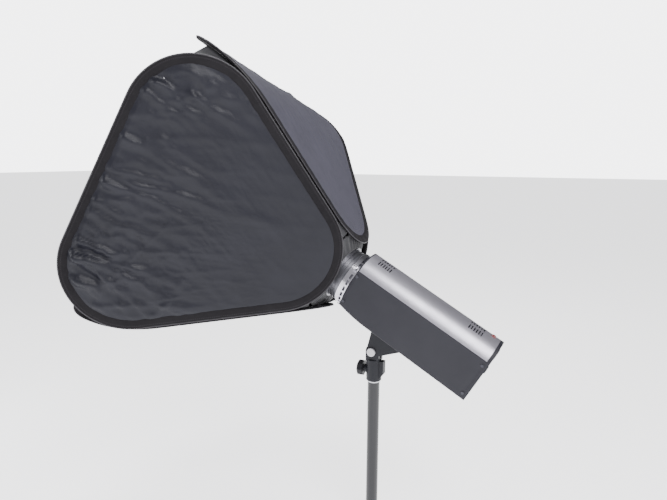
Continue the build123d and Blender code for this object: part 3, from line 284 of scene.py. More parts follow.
FINISHES: dict[str, Finish] = {
    "black_anodised": Finish((0.004, 0.0042, 0.0065), (0.006, 0.0063, 0.0095), 0.16, Pattern.BRUSHED,
                             drawn=(1.0, 1.0, 0.02), grain_depth=0.00002),
    "bright_steel": Finish((0.55, 0.55, 0.58), (0.42, 0.42, 0.44), 0.26, Pattern.BRUSHED, 1.0,
                           drawn=(1.0, 1.0, 0.1), grain_depth=0.00004),
    "black_plastic": Finish((0.006, 0.006, 0.008), (0.01, 0.01, 0.013), 0.42, grain_scale=1400.0,
                            shine=0.25),
    "black_casting": Finish((0.007, 0.0075, 0.011), (0.011, 0.0115, 0.016), 0.45, grain_scale=1100.0,
                            grain_depth=0.00025, shine=0.25),
    "cream_plastic": Finish((0.62, 0.61, 0.64), (0.5, 0.49, 0.52), 0.35, grain_depth=0.00005),
    "grey_paint": Finish((0.021, 0.0208, 0.027), (0.016, 0.0158, 0.021), 0.5, patch_scale=9.0,
                         grain_scale=1300.0, grain_depth=0.0003, shine=0.25),
    "satin_cover": Finish((0.42, 0.41, 0.46), (0.34, 0.33, 0.38), 0.34, Pattern.BRUSHED, 0.75,
                          drawn=(0.2, 1.0, 0.2), grain_scale=1500.0, grain_depth=0.00006),
    "red_lens": Finish((0.16, 0.025, 0.03), (0.1, 0.015, 0.02), 0.25, Pattern.SMOOTH, coat=0.6),
    "bright_plastic": Finish((0.7, 0.3, 0.04), (0.6, 0.22, 0.03), 0.3, grain_depth=0.00004),
    "chrome_ring": Finish((0.6, 0.59, 0.64), (0.48, 0.47, 0.53), 0.16, Pattern.SMOOTH, 1.0,
                          grain_depth=0.00003),
    "dark_ring": Finish((0.2, 0.2, 0.22), (0.13, 0.13, 0.15), 0.34, Pattern.BRUSHED, 0.85,
                        drawn=(0.3, 1.0, 1.0), grain_depth=0.00001),
    "insert_alloy": Finish((0.5, 0.5, 0.52), (0.4, 0.4, 0.42), 0.3, Pattern.BRUSHED, 1.0,
                           grain_depth=0.00005),
    "circuit": Finish((0.04, 0.12, 0.06), (0.02, 0.07, 0.03), 0.4, patch_scale=90.0, coat=0.3),
    "capacitor_sleeve": Finish((0.03, 0.04, 0.09), (0.05, 0.06, 0.12), 0.25, Pattern.SMOOTH, coat=0.4),
    "ceramic": Finish((0.75, 0.73, 0.68), (0.66, 0.63, 0.58), 0.5, grain_scale=700.0),
    "lamp_glass": Finish((0.92, 0.92, 0.94), (0.86, 0.86, 0.88), 0.06, Pattern.SMOOTH, glass=0.9,
                         grain_depth=0.00002),
    "grey_cloth": Finish((0.011, 0.0112, 0.017), (0.008, 0.0082, 0.0125), 0.4, Pattern.WOVEN,
                         grain_scale=1100.0, grain_depth=0.0001, shine=0.24),
    "binding_tape": Finish((0.0125, 0.0115, 0.0132), (0.009, 0.0083, 0.0095), 0.8, Pattern.TAPE,
                           grain_scale=700.0, grain_depth=0.0002, shine=0.12,
                           stitch_colour=(0.02, 0.0185, 0.021)),
    "spring_steel": Finish((0.35, 0.36, 0.38), (0.28, 0.29, 0.32), 0.3, Pattern.BRUSHED, 1.0,
                           grain_depth=0.00004),
    "silver_cloth": Finish((0.58, 0.58, 0.6), (0.48, 0.48, 0.5), 0.34, Pattern.WOVEN, 0.7,
                           grain_scale=500.0, grain_depth=0.0003),
    "black_cloth": Finish((0.012, 0.012, 0.015), (0.02, 0.02, 0.023), 0.75, Pattern.SPECKLE,
                          grain_scale=1200.0, grain_depth=0.0003, sheen=0.2),
    "white_cloth": Finish((0.8, 0.8, 0.8), (0.74, 0.74, 0.75), 0.8, Pattern.WOVEN,
                          grain_scale=800.0, grain_depth=0.0002, sheen=0.1),
}

# Finishes that only some pieces of a slot wear
EXTRA_FINISHES: dict[str, Finish] = {
    # light_cloth is the outer grey cloth painted lighter: painted light falling from above on the top panel
    "light_cloth": Finish((0.055, 0.053, 0.075), (0.041, 0.0395, 0.056), 0.36, Pattern.WOVEN,
                          grain_scale=1100.0, grain_depth=0.0001, sheen=0.03, shine=0.4),
    "piping": Finish((0.035, 0.033, 0.038), (0.025, 0.0235, 0.027), 0.5, Pattern.WOVEN, shine=0.4),
    "black_steel": Finish((0.06, 0.06, 0.07), (0.04, 0.04, 0.05), 0.3, Pattern.BRUSHED, 0.9,
                          grain_depth=0.00004),
}

# CAD nodes that wear a darker finish than their slot's
DARKER = {
    "side_screws": "black_steel",
    "front_corner_gussets": "black_cloth",
    "rear_corner_gussets": "black_cloth",
}


class Wardrobe:
    """Builds each finish once and hands it to the pieces."""

    def __init__(self) -> None:
        """Builds a material for every slot of the record, then the extra ones."""
        wanted = FINISHES | EXTRA_FINISHES
        self.made = {name: finish.material(name) for name, finish in wanted.items()}

    def dress_frame(self) -> None:
        """Gives every CAD node the finish of its slot."""
        slots = {part["node"]: part["material_slot"] for part in frame["record"]["subparts"]}
        for name, node in frame["nodes"].items():
            finish = self.made[DARKER.get(name, slots[name])]
            for index in range(len(node.data.materials)):
                node.data.materials[index] = finish
            if not node.data.materials:
                node.data.materials.append(finish)
            log.info("frame node %s: %s", name, slots[name])


# ---------------------------------------------------------------- cloth meshes
def cloth_piece(name: str, points: Curve, tags: Curve, thickness: float,
                capped: bool = False) -> bpy.types.Object:
    """Makes a sheet from a grid of points whose columns run all the way round.

    Args:
        name: The piece's name.
        points: Grid of places, rows by columns by three, in metres.
        tags: UV place of each grid point, rows by columns by two.
        thickness: Thickness of the cloth.
        capped: Whether the first row is filled as the sheet's middle.

    Returns:
        The new object.
    """
    rows, columns = points.shape[:2]
    faces = []
    for row in range(rows - 1):
        for column in range(columns):
            after = (column + 1) % columns
            faces.append((row * columns + column, row * columns + after,
                          (row + 1) * columns + after, (row + 1) * columns + column))
    if capped:
        faces.append(tuple(reversed(range(columns))))
    mesh = bpy.data.meshes.new(name)
    mesh.from_pydata([tuple(p) for p in points.reshape(-1, 3)], [], faces)
    layer = mesh.uv_layers.new(name="cut")
    flat = tags.reshape(-1, 2)
    for loop in mesh.loops:
        layer.data[loop.index].uv = flat[loop.vertex_index]
    for face in mesh.polygons:
        face.use_smooth = True
    piece = bpy.data.objects.new(name, mesh)
    bpy.context.scene.collection.objects.link(piece)
    if thickness:
        wall = piece.modifiers.new("cloth", "SOLIDIFY")
        wall.thickness = thickness
        wall.offset = -1.0
        bpy.context.view_layer.objects.active = piece
        bpy.ops.object.modifier_apply(modifier=wall.name)
    return piece


def finish_piece(piece: bpy.types.Object, material: bpy.types.Material,
                 nodes: tuple[str, ...]) -> None:
    """Dresses a soft piece, hangs it on the softbox body and hides the CAD nodes that it stands for."""
    piece.data.materials.append(material)
    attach(piece, "softbox")
    if nodes:
        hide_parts(*nodes)
    log.info("piece %s: %d faces", piece.name, len(piece.data.polygons))


def resampled(curve: Curve, count: int) -> Curve:
    """Places points evenly along a closed curve.

    Args:
        curve: The curve's points, the last not repeating the first.
        count: How many points come back.

    Returns:
        The even points.
    """
    ring = np.vstack([curve, curve[:1]])
    steps = np.concatenate([[0.0], np.cumsum(np.linalg.norm(np.diff(ring, axis=0), axis=1))])
    wanted = np.linspace(0.0, steps[-1], count, endpoint=False)
    return np.stack([np.interp(wanted, steps, ring[:, axis]) for axis in range(ring.shape[1])], -1)


def inset(curve: Curve, distance: float) -> Curve:
    """Moves a closed curve that runs counter-clockwise inwards by a distance."""
    along = np.roll(curve, -1, axis=0) - np.roll(curve, 1, axis=0)
    along /= np.linalg.norm(along, axis=1)[:, None]
    return curve + np.stack([-along[:, 1], along[:, 0]], -1) * distance


def flat_area(curve: Curve) -> float:
    """Area inside a closed plane curve."""
    after = np.roll(curve, -1, axis=0)
    return abs(float(np.sum(curve[:, 0] * after[:, 1] - after[:, 0] * curve[:, 1]))) / 2


@dataclass
class Folds:
    """Soft folds, crinkles and gathers of a stretched panel, lengths in millimetres."""

    seed: int
    folds: int = 26
    fold_height: float = 9.0
    fold_span: tuple[float, float] = (-260.0, 300.0)
    fold_reach: tuple[float, float] = (70.0, 260.0)
    gather_at: tuple[tuple[float, float], ...] = ()
    gather_height: float = 4.5
    crinkle: float = 1.3
    front: float = 715.0
    fold_width: tuple[float, float] = (6.0, 13.0)
    fold_lean: tuple[float, float] = (-0.28, 0.12)
    gather_rays: int = 11
    gather_width: tuple[float, float] = (4.0, 9.0)
    gather_fade: tuple[float, float] = (45.0, 120.0)
    ripples: int = 18
    ripple_pitch: tuple[float, float] = (16.0, 60.0)

    def height(self, x: Curve, y: Curve) -> Curve:
        """Relief of the cloth.

        Args:
            x: Distance across the panel.
            y: Distance from the apex.

        Returns:
            How far each place stands proud of the flat cloth.
        """
        dice = np.random.default_rng(self.seed)
        behind = np.maximum(self.front - y, 0.0)
        relief = np.zeros_like(x)
        for _ in range(self.folds):
            start = dice.uniform(*self.fold_span)
            reach = dice.uniform(*self.fold_reach)
            width = dice.uniform(*self.fold_width)
            lean = dice.uniform(*self.fold_lean)
            tall = dice.uniform(0.35, 1.0) * self.fold_height
            wander = 5.0 * np.sin(behind / dice.uniform(28.0, 60.0) + dice.uniform(0.0, 6.0))
            off = (x - start - lean * behind - wander) / (width * (0.7 + behind / 300.0))
            fade = np.exp(-((behind / reach) ** 2)) * (1.0 - np.exp(-behind / 14.0))
            relief += tall * fade * (np.exp(-off * off) - 0.5 * np.exp(-((off - 1.5) ** 2)))
        for gather_x, gather_y in self.gather_at:
            gap = np.hypot(x - gather_x, y - gather_y)
            turn = np.arctan2(y - gather_y, x - gather_x)
            for _ in range(self.gather_rays):
                ray = dice.uniform(-pi, pi)
                width = dice.uniform(*self.gather_width)
                side = np.abs(np.angle(np.exp(1j * (turn - ray)))) * gap
                fade = np.exp(-gap / dice.uniform(*self.gather_fade)) * (1 - np.exp(-gap / 9.0))
                tall = self.gather_height * dice.uniform(0.4, 1.0)
                relief += tall * fade * np.exp(-((side / width) ** 2))
        ripple = np.zeros_like(x)
        for _ in range(self.ripples):
            heading = dice.normal(0.0, 0.45)
            pitch = dice.uniform(*self.ripple_pitch)
            bend = 9.0 * np.sin(y / dice.uniform(40.0, 90.0) + dice.uniform(0.0, 6.0))
            wave = ((x + bend) * cos(heading) + y * sin(heading)) * (2 * pi / pitch) + dice.uniform(0.0, 6.0)
            ripple += (1.0 - np.abs(np.sin(wave / 2))) ** 2.5 * pitch / self.ripple_pitch[1]
        edge = np.exp(-behind / 150.0) + 0.05
        for gather_x, gather_y in self.gather_at:
            edge = edge + 0.6 * np.exp(-np.hypot(x - gather_x, y - gather_y) / 90.0)
        relief += self.crinkle * ripple * edge
        return relief


@dataclass
class BoxShape:
    """The softbox's own frame and its driving sizes, in millimetres and degrees."""

    front_side: float = 850.0
    depth: float = 584.0
    apex_back: float = 101.5
    droop: float = 4.9
    roll: float = 10.3
    corner_r: float = 148.0
    bend_start: float = 465.0
    bend_r: float = 320.0
    bend_turn: float = 40.0
    bend_bow: float = 22.0
    bend_corner_r: float = 55.0
    bend_seam: float = 2.0
    corner_setback: float = 0.88
    corner_handle: float = 0.57
    joint_ahead: float = 15.0
    slope: float = field(init=False)
    face_height: float = field(init=False)

    def __post_init__(self) -> None:
        """Works out the box's axes from the joint that turns it on the head."""
        half = self.front_side / 2
        self.slope = atan(half / self.depth)
        self.face_height = hypot(self.depth, half)
        joint = next(j for j in frame["joints"] if j["name"] == "softbox_turn")
        forward = np.array(joint["axis"], float)
        forward /= np.linalg.norm(forward)
        near = np.array([0.0, -1.0, 0.0])
        upward = np.cross(forward, near)
        self.centre = np.array(joint["pos_m"], float) / MM - forward * self.joint_ahead
        droop, roll = radians(self.droop), radians(self.roll)
        self.ahead = forward * cos(droop) - upward * sin(droop)
        risen = upward * cos(droop) + forward * sin(droop)
        self.near = near * cos(roll) + risen * sin(roll)
        self.up = risen * cos(roll) - near * sin(roll)
        self.forward, self.upward = forward, upward

    def place(self, turn: int, bent: bool, x: Curve, y: Curve, n: Curve | float) -> Curve:
        """Carries points of a panel to their places.

        Args:
            turn: The panel's turn round the box in degrees.
            bent: Whether its front is bent inwards.
            x: Distance across.
            y: Distance from the apex, seen square to the flat part.
            n: Height above the cloth.

        Returns:
            Places in metres.
        """
        out = y * sin(self.slope) + n * cos(self.slope)
        along = y * cos(self.slope) - n * sin(self.slope) - self.apex_back
        if bent:
            round_bend = np.clip((y - self.bend_start) / self.bend_r, 0.0, 0.99)
            lean = self.slope - np.arcsin(round_bend)
            out_bent = (self.bend_start * sin(self.slope) - self.bend_r * cos(self.slope)
                        + (self.bend_r + n) * np.cos(lean))
            along_bent = (self.bend_start * cos(self.slope) + self.bend_r * sin(self.slope) - self.apex_back
                          - (self.bend_r + n) * np.sin(lean))
            out = np.where(y > self.bend_start, out_bent, out)
            along = np.where(y > self.bend_start, along_bent, along)
        angle = radians(turn)
        outward = self.near * cos(angle) + self.up * sin(angle)
        sideways = self.up * cos(angle) - self.near * sin(angle)
        spot = (self.centre + sideways * x[..., None] + outward * out[..., None]
                + self.ahead * along[..., None])
        return spot * MM

    def flat_outline(self) -> Curve:
        """Rounded triangle of a flat panel, counter-clockwise from the middle of its rear."""
        half = self.front_side / 2
        flank = hypot(half, self.face_height)
        in_radius = half * self.face_height / (half + flank)
        in_height = self.face_height - in_radius
        lean = degrees(atan(half / self.face_height))
        keep = self.corner_r / in_radius
        arcs = (((0.0, in_height * keep), -180 + lean, -lean),
                ((half * (1 - keep), self.face_height - self.corner_r), -lean, 90),
                ((-half * (1 - keep), self.face_height - self.corner_r), 90, 180 + lean))
        points = []
        for (x, y), start, end in arcs:
            for angle in np.radians(np.linspace(start, end, 40)):
                points.append((x + self.corner_r * cos(angle), y + self.corner_r * sin(angle)))
        return np.array(points)

    def bent_outline(self) -> Curve:
        """Outline of a panel whose sides curve inwards to its front corners."""
        half_apex = atan(sin(self.slope))
        gap = self.bend_seam / cos(half_apex)
        centre = (self.corner_r + self.bend_seam) / sin(half_apex)
        right = []
        for angle in np.radians(np.linspace(-90, -degrees(half_apex), 30)):
            right.append((self.corner_r * cos(angle), centre + self.corner_r * sin(angle)))
        for turn in np.radians(np.linspace(0, self.bend_turn, 60)):
            inwards = self.bend_r * (cos(turn - self.slope) - cos(self.slope))
            across = self.bend_start * sin(self.slope) + inwards
            right.append((across - gap, self.bend_start + self.bend_r * sin(turn)))
        tip_x, tip_y = right[-1]
        setback = self.bend_corner_r * self.corner_setback
        while right[-1][1] > tip_y - setback:
            right.pop()
        start = np.array(right[-1])
        rise = start - np.array(right[-2])
        rise /= np.linalg.norm(rise)
        end_x = tip_x - setback
        front = [(x, tip_y + self.bend_bow * (1 - (x / tip_x) ** 2)) for x in np.linspace(end_x, 0, 40)]
        end = np.array(front[0])
        leave = end - np.array(front[1])
        leave /= np.linalg.norm(leave)
        handle = setback * self.corner_handle
        for step in np.linspace(0, 1, 26)[1:-1]:
            rest = 1 - step
            point = (start * rest**3 + 3 * (start + rise * handle) * step * rest**2
                     + 3 * (end + leave * handle) * step**2 * rest + end * step**3)
            right.append(tuple(point))
        right += front
        left = [(-x, y) for x, y in reversed(right[:-1])]
        return np.array(right + left[:-1])


@dataclass
class Panel:
    """One triangular cloth side with its lining, binding tape and piping."""

    shape: BoxShape
    name: str
    turn: int
    bent: bool
    folds: Folds
    cloth: str
    tape_edge: float = 2.7
    tape_width: float = 22.0
    tape_half: float = 3.4
    tuck: float = 5.0
    around: int = 260
    rings: int = 84
    piping_r: float = 1.5
    sag: float = 4.0
    skin_level: float = 1.0
    lining_level: float = -0.4
    pucker: float = 0.07

    def outline(self, distance: float) -> Curve:
        """Evenly spaced outline moved inwards by a distance."""
        base = self.shape.bent_outline() if self.bent else self.shape.flat_outline()
        return inset(resampled(base, self.around), distance)

    def sheet(self, name: str, edge: float, base: float, sign: float,
              relief: Callable[[Curve, Curve], Curve],
              thickness: float) -> tuple[bpy.types.Object, float, tuple[float, float]]:
        """Makes one stretched sheet inside an outline.

        Args:
            name: The piece's name.
            edge: How far its edge lies inside the panel's outline.
            base: Height of the cloth at its edge.
            sign: Way the folds stand, 1 outwards or -1 inwards.
            relief: Height of the folds over the panel.
            thickness: Thickness of the cloth.

        Returns:
            The piece, its flat area and its flat width and length, in metres.
        """
        rim = self.outline(edge)
        middle = np.array([0.0, rim[:, 1].mean()])
        share = np.linspace(INNERMOST_RING, 1.0, self.rings)[:, None, None]
        grid = middle + (rim - middle)[None] * share
        x, y = grid[..., 0], grid[..., 1]
        quiet = np.clip((1.0 - share[..., 0]) / QUIET_RIM, 0.0, 1.0)
        hollow = self.sag * (1.0 - share[..., 0] ** 2)
        height = base + sign * relief(x, y) * quiet - hollow
        points = self.shape.place(self.turn, self.bent, x, y, height)
        piece = cloth_piece(name, points, grid * MM, thickness, capped=True)
        stretch = self.stretch(x, y)
        size = (float(np.ptp(rim[:, 0])) * MM, float(np.ptp(rim[:, 1])) * MM * stretch)
        return piece, flat_area(rim) * MM**2 * stretch, size

    def stretch(self, x: Curve, y: Curve) -> float:
        """How much longer a bent panel's cloth is than it looks square to its flat part."""
        if not self.bent:
            return 1.0
        past = np.clip((y - self.shape.bend_start) / self.shape.bend_r, 0.0, 0.9)
        weight = np.linspace(INNERMOST_RING, 1.0, self.rings)[:, None] * np.ones_like(x)
        return float(np.sum(weight / np.sqrt(1 - past**2)) / np.sum(weight))

    def skin(self, wardrobe: Wardrobe) -> None:
        """Makes the outer cloth with its folds."""
        inner = self.tape_edge + self.tape_width
        piece, area, size = self.sheet(f"skin_{self.name}", inner - self.tuck, self.skin_level, 1.0,
                                       self.folds.height, SKIN_THICKNESS)
        finish_piece(piece, wardrobe.made[self.cloth], (f"side_panel_{self.name}",))

    def lining(self, wardrobe: Wardrobe) -> None:
        """Makes the silver cloth inside the outer cloth."""
        loose = Folds(self.folds.seed + 50, folds=10, fold_height=1.0, crinkle=0.3, front=self.folds.front)
        inner = self.tape_edge + self.tape_width
        piece, area, size = self.sheet(f"lining_{self.name}", inner - self.tuck, self.lining_level, -1.0,
                                       loose.height, LINING_THICKNESS)
        stands_for = ("silver_linings",) if self.turn == 0 else ()
        finish_piece(piece, wardrobe.made["silver_cloth"], stands_for)

    def band(self, wardrobe: Wardrobe) -> None:
        """Makes the tape that encloses the hoop, and the piping along its edge."""
        dice = np.random.default_rng(self.folds.seed + 9)
        around = self.around * 2
        base = resampled(self.shape.bent_outline() if self.bent else self.shape.flat_outline(), around)
        length = float(np.linalg.norm(np.diff(base, axis=0), axis=1).sum()) * MM
        along = np.linspace(0.0, length, around)
        waves = (np.sin(along * dice.uniform(60, 240) + dice.uniform(0, 6)) for _ in range(6))
        pucker = sum(waves) * self.pucker
        section = []
        for angle in np.radians(np.linspace(0, 360, 28, endpoint=False)):
            wide = np.sign(cos(angle)) * abs(cos(angle)) ** 0.45
            tall = np.sign(sin(angle)) * abs(sin(angle)) ** 0.7
            section.append((wide * self.tape_width / 2, tall * self.tape_half))
        grid, tags = [], []
        for step, (wide, tall) in enumerate(section + section[:1]):
            row = inset(base, self.tape_edge + self.tape_width / 2 - wide)
            hoop = 0.6 * np.exp(-((wide / 5.0) ** 2)) * np.sign(tall)
            height = tall * (0.94 + pucker * 0.5) + hoop * 0.6
            grid.append(self.shape.place(self.turn, self.bent, row[:, 0], row[:, 1], height))
            tags.append(np.stack([along, np.full(around, (wide + self.tape_width) * MM)], -1))
        piece = cloth_piece(f"binding_{self.name}", np.array(grid), np.array(tags), 0.0)
        tidy_mesh(piece)
        finish_piece(piece, wardrobe.made["binding_tape"], (f"hoop_casing_{self.name}",))
        self.piping(wardrobe, base, along)

    def piping(self, wardrobe: Wardrobe, base: Curve, along: Curve) -> None:
        """Makes the fine round edge of the tape."""
        grid, tags = [], []
        for angle in np.radians(np.linspace(0, 360, 9)):
            row = inset(base, self.tape_edge + 0.3 - self.piping_r * cos(angle))
            height = self.tape_half * 0.55 + self.piping_r * sin(angle)
            grid.append(self.shape.place(self.turn, self.bent, row[:, 0], row[:, 1], height + 0 * row[:, 0]))
            tags.append(np.stack([along, np.full(len(along), angle * self.piping_r * MM)], -1))
        piece = cloth_piece(f"piping_{self.name}", np.array(grid), np.array(tags), 0.0)
        tidy_mesh(piece)
        finish_piece(piece, wardrobe.made["piping"], ())

    def build(self, wardrobe: Wardrobe) -> None:
        """Makes the whole side."""
        self.band(wardrobe)
        self.skin(wardrobe)
        self.lining(wardrobe)


def tidy_mesh(piece: bpy.types.Object) -> None:
    """Merges the doubled seam of a closed tube and turns its faces outwards."""
    bpy.ops.object.select_all(action="DESELECT")
    bpy.context.view_layer.objects.active = piece
    piece.select_set(True)
    bpy.ops.object.mode_set(mode="EDIT")
    bpy.ops.mesh.select_all(action="SELECT")
    bpy.ops.mesh.remove_doubles(threshold=0.00001)
    bpy.ops.mesh.normals_make_consistent(inside=False)
    bpy.ops.object.mode_set(mode="OBJECT")
    piece.select_set(False)


def rounded_square(half_x: float, half_y: float, radius: float, count: int) -> Curve:
    """Closed outline of a rectangle with round corners, counter-clockwise."""
    points = []
    for corner, (side_x, side_y) in enumerate(((1, 1), (-1, 1), (-1, -1), (1, -1))):
        for angle in np.radians(np.linspace(0, 90, 16) + 90 * corner):
            points.append((side_x * (half_x - radius) + radius * cos(angle),
                           side_y * (half_y - radius) + radius * sin(angle)))
    return resampled(np.array(points), count)


@dataclass
class InnerCloths:
    """The front cloth, the inner baffle and the sleeve behind, in millimetres."""

    shape: BoxShape
    front_level: float = 420.5
    front_half: tuple[float, float] = (374.4, 327.8)
    front_corner: float = 95.0
    baffle_level: float = 250.0
    baffle_half: float = 150.0
    baffle_corner: float = 20.0
    lip_ahead: float = 31.0
    lip_r: float = 71.0
    sleeve_ahead: float = 44.0
    sleeve_corner: float = 60.0
    casing_gap: float = 3.8
    pleats: int = 34
    pleat_height: float = 1.1
    pleat_base: float = 0.8
    pull_height: float = 1.4

    def level_cloth(self, name: str, level: float, half: tuple[float, float], corner: float, dip: float,
                    seed: int, node: str, wardrobe: Wardrobe) -> None:
        """Makes a white cloth stretched across the box.

        Args:
            name: The piece's name.
            level: How far ahead of the ring it is held.
            half: Half its width and height.
            corner: Its corners' radius.
            dip: How far its middle hangs back.
            seed: Seed of its folds.
            node: The CAD node that it stands for.
            wardrobe: The finishes.
        """
        rim = rounded_square(half[0], half[1], corner, 240)
        share = np.linspace(INNERMOST_LEVEL_RING, 1.0, 70)[:, None, None]
        grid = rim[None] * share
        dice = np.random.default_rng(seed)
        x, y = grid[..., 0], grid[..., 1]
        round_rim = np.arctan2(y, x)
        pull = np.zeros_like(x)
        for _ in range(16):
            ray = (round(dice.uniform(0, 3)) + 0.5) * pi / 2 + dice.uniform(-0.22, 0.22)
            side = np.abs(np.angle(np.exp(1j * (round_rim - ray)))) * np.hypot(x, y)
            tall = dice.uniform(0.3, 1.0)
            pull += tall * np.exp(-((side / dice.uniform(6, 16)) ** 2)) * share[..., 0] ** 4
        quiet = np.clip((1 - share[..., 0]) / QUIET_LEVEL_RIM, 0, 1)
        depth = level + 0.5 - dip * (1 - share[..., 0] ** 2) + pull * self.pull_height * quiet
        spot = (self.shape.centre + self.shape.near * x[..., None] + self.shape.up * y[..., None]
                + self.shape.ahead * depth[..., None])
        piece = cloth_piece(name, spot * MM, grid * MM, SKIN_THICKNESS, capped=True)
        finish_piece(piece, wardrobe.made["white_cloth"], (node,))
        flat_area(rim) * MM**2

    def sleeve(self, wardrobe: Wardrobe) -> None:
        """Makes the gathered black sleeve from the ring's lip out to the four panels."""
        slope = self.shape.slope
        half = (self.sleeve_ahead + self.shape.apex_back) * tan(slope) - self.casing_gap / cos(slope)
        count, rows = 288, 22
        rim = rounded_square(half - 0.5, half - 0.5, self.sleeve_corner, count)
        heading = np.arctan2(rim[:, 1], rim[:, 0])
        outer = (self.shape.centre + self.shape.near * rim[:, :1] + self.shape.up * rim[:, 1:]
                 + self.shape.ahead * self.sleeve_ahead)
        spokes = outer - (self.shape.centre + self.shape.forward * self.lip_ahead)
        flat = spokes - self.shape.forward * (spokes @ self.shape.forward)[:, None]
        flat /= np.linalg.norm(flat, axis=1)[:, None]
        ring = self.shape.centre + self.shape.forward * self.lip_ahead + flat * self.lip_r
        share = np.linspace(0.0, 1.0, rows)[:, None]
        pleats = np.sin(heading * self.pleats + 1.5 * np.sin(heading * 5)) * np.sin(share * pi) ** 0.7
        grid = ring[None] * (1 - share[..., None]) + outer[None] * share[..., None]
        grid = grid + self.shape.ahead * (pleats * self.pleat_height - self.pleat_base)[..., None]
        length = np.linalg.norm(outer - ring, axis=1).mean()
        tags = np.stack([np.broadcast_to(heading * self.lip_r, pleats.shape),
                         np.broadcast_to(share * length, pleats.shape)], -1)
        piece = cloth_piece("gathered_sleeve", grid * MM, tags * MM, SLEEVE_THICKNESS)
        finish_piece(piece, wardrobe.made["black_cloth"], ("rear_sleeve",))

    def build(self, wardrobe: Wardrobe) -> None:
        """Makes the three cloths."""
        self.level_cloth("diffuser_cloth", self.front_level, self.front_half, self.front_corner, 9.0, 71,
                         "front_diffuser", wardrobe)
        self.level_cloth("baffle_cloth", self.baffle_level, (self.baffle_half, self.baffle_half),
                         self.baffle_corner, 1.0, 72, "inner_baffle", wardrobe)
        self.sleeve(wardrobe)


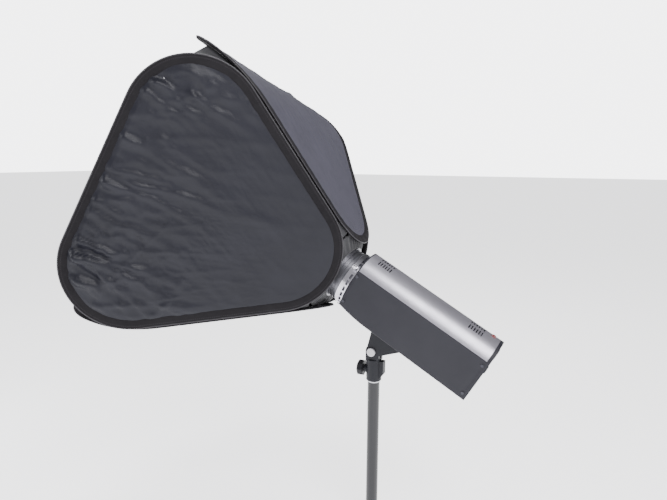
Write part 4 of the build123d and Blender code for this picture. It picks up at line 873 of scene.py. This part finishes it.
# ---------------------------------------------------------------- studio
@dataclass
class Studio:
    """Floor, backdrop, lights and camera, in metres and degrees."""

    azimuth: float = 24.45
    elevation: float = 9.09
    lean: float = 0.34
    distance: float = 1.4382
    target: tuple[float, float, float] = (-0.11288, 0.0, 0.6928)
    lens: float = 31.03
    sweep_half: float = 30.0
    backdrop: float = 5.0
    ambient: float = 0.6
    behind: float = 0.12
    floor_glow: float = 1.9

    def camera_axes(self) -> tuple[Vector, Vector, Vector]:
        """Right, up and backward directions of the camera."""
        turn, rise, lean = (radians(a) for a in (self.azimuth, self.elevation, self.lean))
        back = Vector((sin(turn) * cos(rise), -cos(turn) * cos(rise), sin(rise)))
        right = Vector((cos(turn), sin(turn), 0.0))
        above = back.cross(right)
        return right * cos(lean) + above * sin(lean), above * cos(lean) - right * sin(lean), back

    def camera(self) -> None:
        """Stands the camera at its place."""
        right, above, back = self.camera_axes()
        data = bpy.data.cameras.new("camera")
        data.lens = self.lens
        camera = bpy.data.objects.new("camera", data)
        place = Vector(self.target) + back * self.distance
        turned = Matrix((right, above, back)).transposed().to_4x4()
        camera.matrix_world = Matrix.Translation(place) @ turned
        bpy.context.scene.collection.objects.link(camera)
        bpy.context.scene.camera = camera

    def sweep(self) -> None:
        """Makes the plain pale floor."""
        bpy.ops.object.select_all(action="DESELECT")
        bpy.ops.mesh.primitive_plane_add(size=2 * self.sweep_half, location=(0.0, 0.0, 0.0))
        floor = bpy.context.object
        floor.name = "floor"
        paper = Finish((0.86, 0.86, 0.865), (0.85, 0.85, 0.855), 0.85, patch_amount=0.2, grain_depth=0.00005)
        sheet = paper.material("floor_paper")
        shader = sheet.node_tree.nodes["Principled BSDF"]
        shader.inputs["Emission Color"].default_value = (0.98, 0.98, 1.0, 1.0)
        shader.inputs["Emission Strength"].default_value = self.floor_glow
        floor.data.materials.append(sheet)

    def light(self, name: str, place: tuple[float, float, float], size: float, power: float, tint: Colour,
              tall: float = 0.0) -> None:
        """Adds a soft light that faces the softbox.

        Args:
            name: The light's name.
            place: Where it stands.
            size: Width of its face.
            power: Its power in watts.
            tint: Its colour.
            tall: Height of its face, where it isn't square.
        """
        data = bpy.data.lights.new(name, "AREA")
        data.shape = "RECTANGLE"
        data.size = size
        data.size_y = tall or size
        data.energy = power
        data.color = tint
        lamp = bpy.data.objects.new(name, data)
        lamp.location = place
        aim = Vector((self.target[0], self.target[1], place[2] if tall else self.target[2])) - Vector(place)
        lamp.rotation_euler = aim.to_track_quat("-Z", "Y").to_euler()
        bpy.context.scene.collection.objects.link(lamp)

    def world(self) -> None:
        """Fills the room with plain pale light, brighter where it is seen as the backdrop."""
        world = bpy.data.worlds.new("room")
        world.use_nodes = True
        tree = world.node_tree
        ground = tree.nodes["Background"]
        ground.inputs["Color"].default_value = (0.98, 0.98, 1.0, 1.0)
        ray = tree.nodes.new("ShaderNodeLightPath")
        way = tree.nodes.new("ShaderNodeTexCoord")
        front = tree.nodes.new("ShaderNodeSeparateXYZ")
        tree.links.new(way.outputs["Generated"], front.inputs[0])
        dim = tree.nodes.new("ShaderNodeMapRange")
        tree.links.new(front.outputs["Y"], dim.inputs["Value"])
        limits = {"From Min": -0.6, "From Max": 0.5, "To Min": self.ambient, "To Max": self.behind}
        for name, value in limits.items():
            dim.inputs[name].default_value = value
        scale = tree.nodes.new("ShaderNodeMath")
        scale.operation = "MULTIPLY_ADD"
        tree.links.new(ray.outputs["Is Camera Ray"], scale.inputs[0])
        scale.inputs[1].default_value = self.backdrop
        tree.links.new(dim.outputs[0], scale.inputs[2])
        tree.links.new(scale.outputs[0], ground.inputs["Strength"])
        bpy.context.scene.world = world

    def build(self) -> None:
        """Sets up the whole studio."""
        self.sweep()
        self.world()
        self.light("key", (1.5, -1.2, 2.6), 1.5, 80.0, (1.0, 0.99, 1.0))
        self.light("fill", (-2.2, -1.6, 1.9), 1.2, 34.0, (0.97, 0.98, 1.0))
        self.light("top", (-0.6, 0.9, 2.9), 1.2, 46.0, (1.0, 1.0, 1.0))
        self.light("left strip", (-1.7, -0.35, 0.9), 0.22, 9.0, (0.96, 0.96, 1.0), 2.2)
        self.light("right strip", (1.5, 0.35, 0.6), 0.16, 7.0, (0.96, 0.96, 1.0), 2.0)
        self.camera()


def main() -> None:
    """Builds the looks in order."""
    wardrobe = Wardrobe()
    wardrobe.dress_frame()
    shape = BoxShape()
    near_folds = Folds(11, folds=44, fold_height=7.0, gather_height=3.0,
                       gather_at=((-232.0, 610.0), (-150.0, 640.0), (215.0, 600.0), (-205.0, 470.0)))
    top_folds = Folds(23, folds=14, fold_height=2.0, gather_height=2.0, crinkle=0.5, front=690.0,
                      gather_at=((240.0, 600.0), (120.0, 640.0)))
    far_folds = Folds(37, gather_at=((-232.0, 610.0),))
    bottom_folds = Folds(41, folds=16, fold_height=2.0, crinkle=0.5, front=690.0)
    panels = (Panel(shape, "near", 0, False, near_folds, "grey_cloth"),
              # The top panel wears the outer cloth painted lighter, as painted light from above
              Panel(shape, "top", 90, True, top_folds, "light_cloth"),
              Panel(shape, "far", 180, False, far_folds, "grey_cloth"),
              Panel(shape, "bottom", 270, True, bottom_folds, "grey_cloth"))
    for panel in panels:
        panel.build(wardrobe)
    InnerCloths(shape).build(wardrobe)
    Studio().build()


if __name__ == "__main__":
    main()
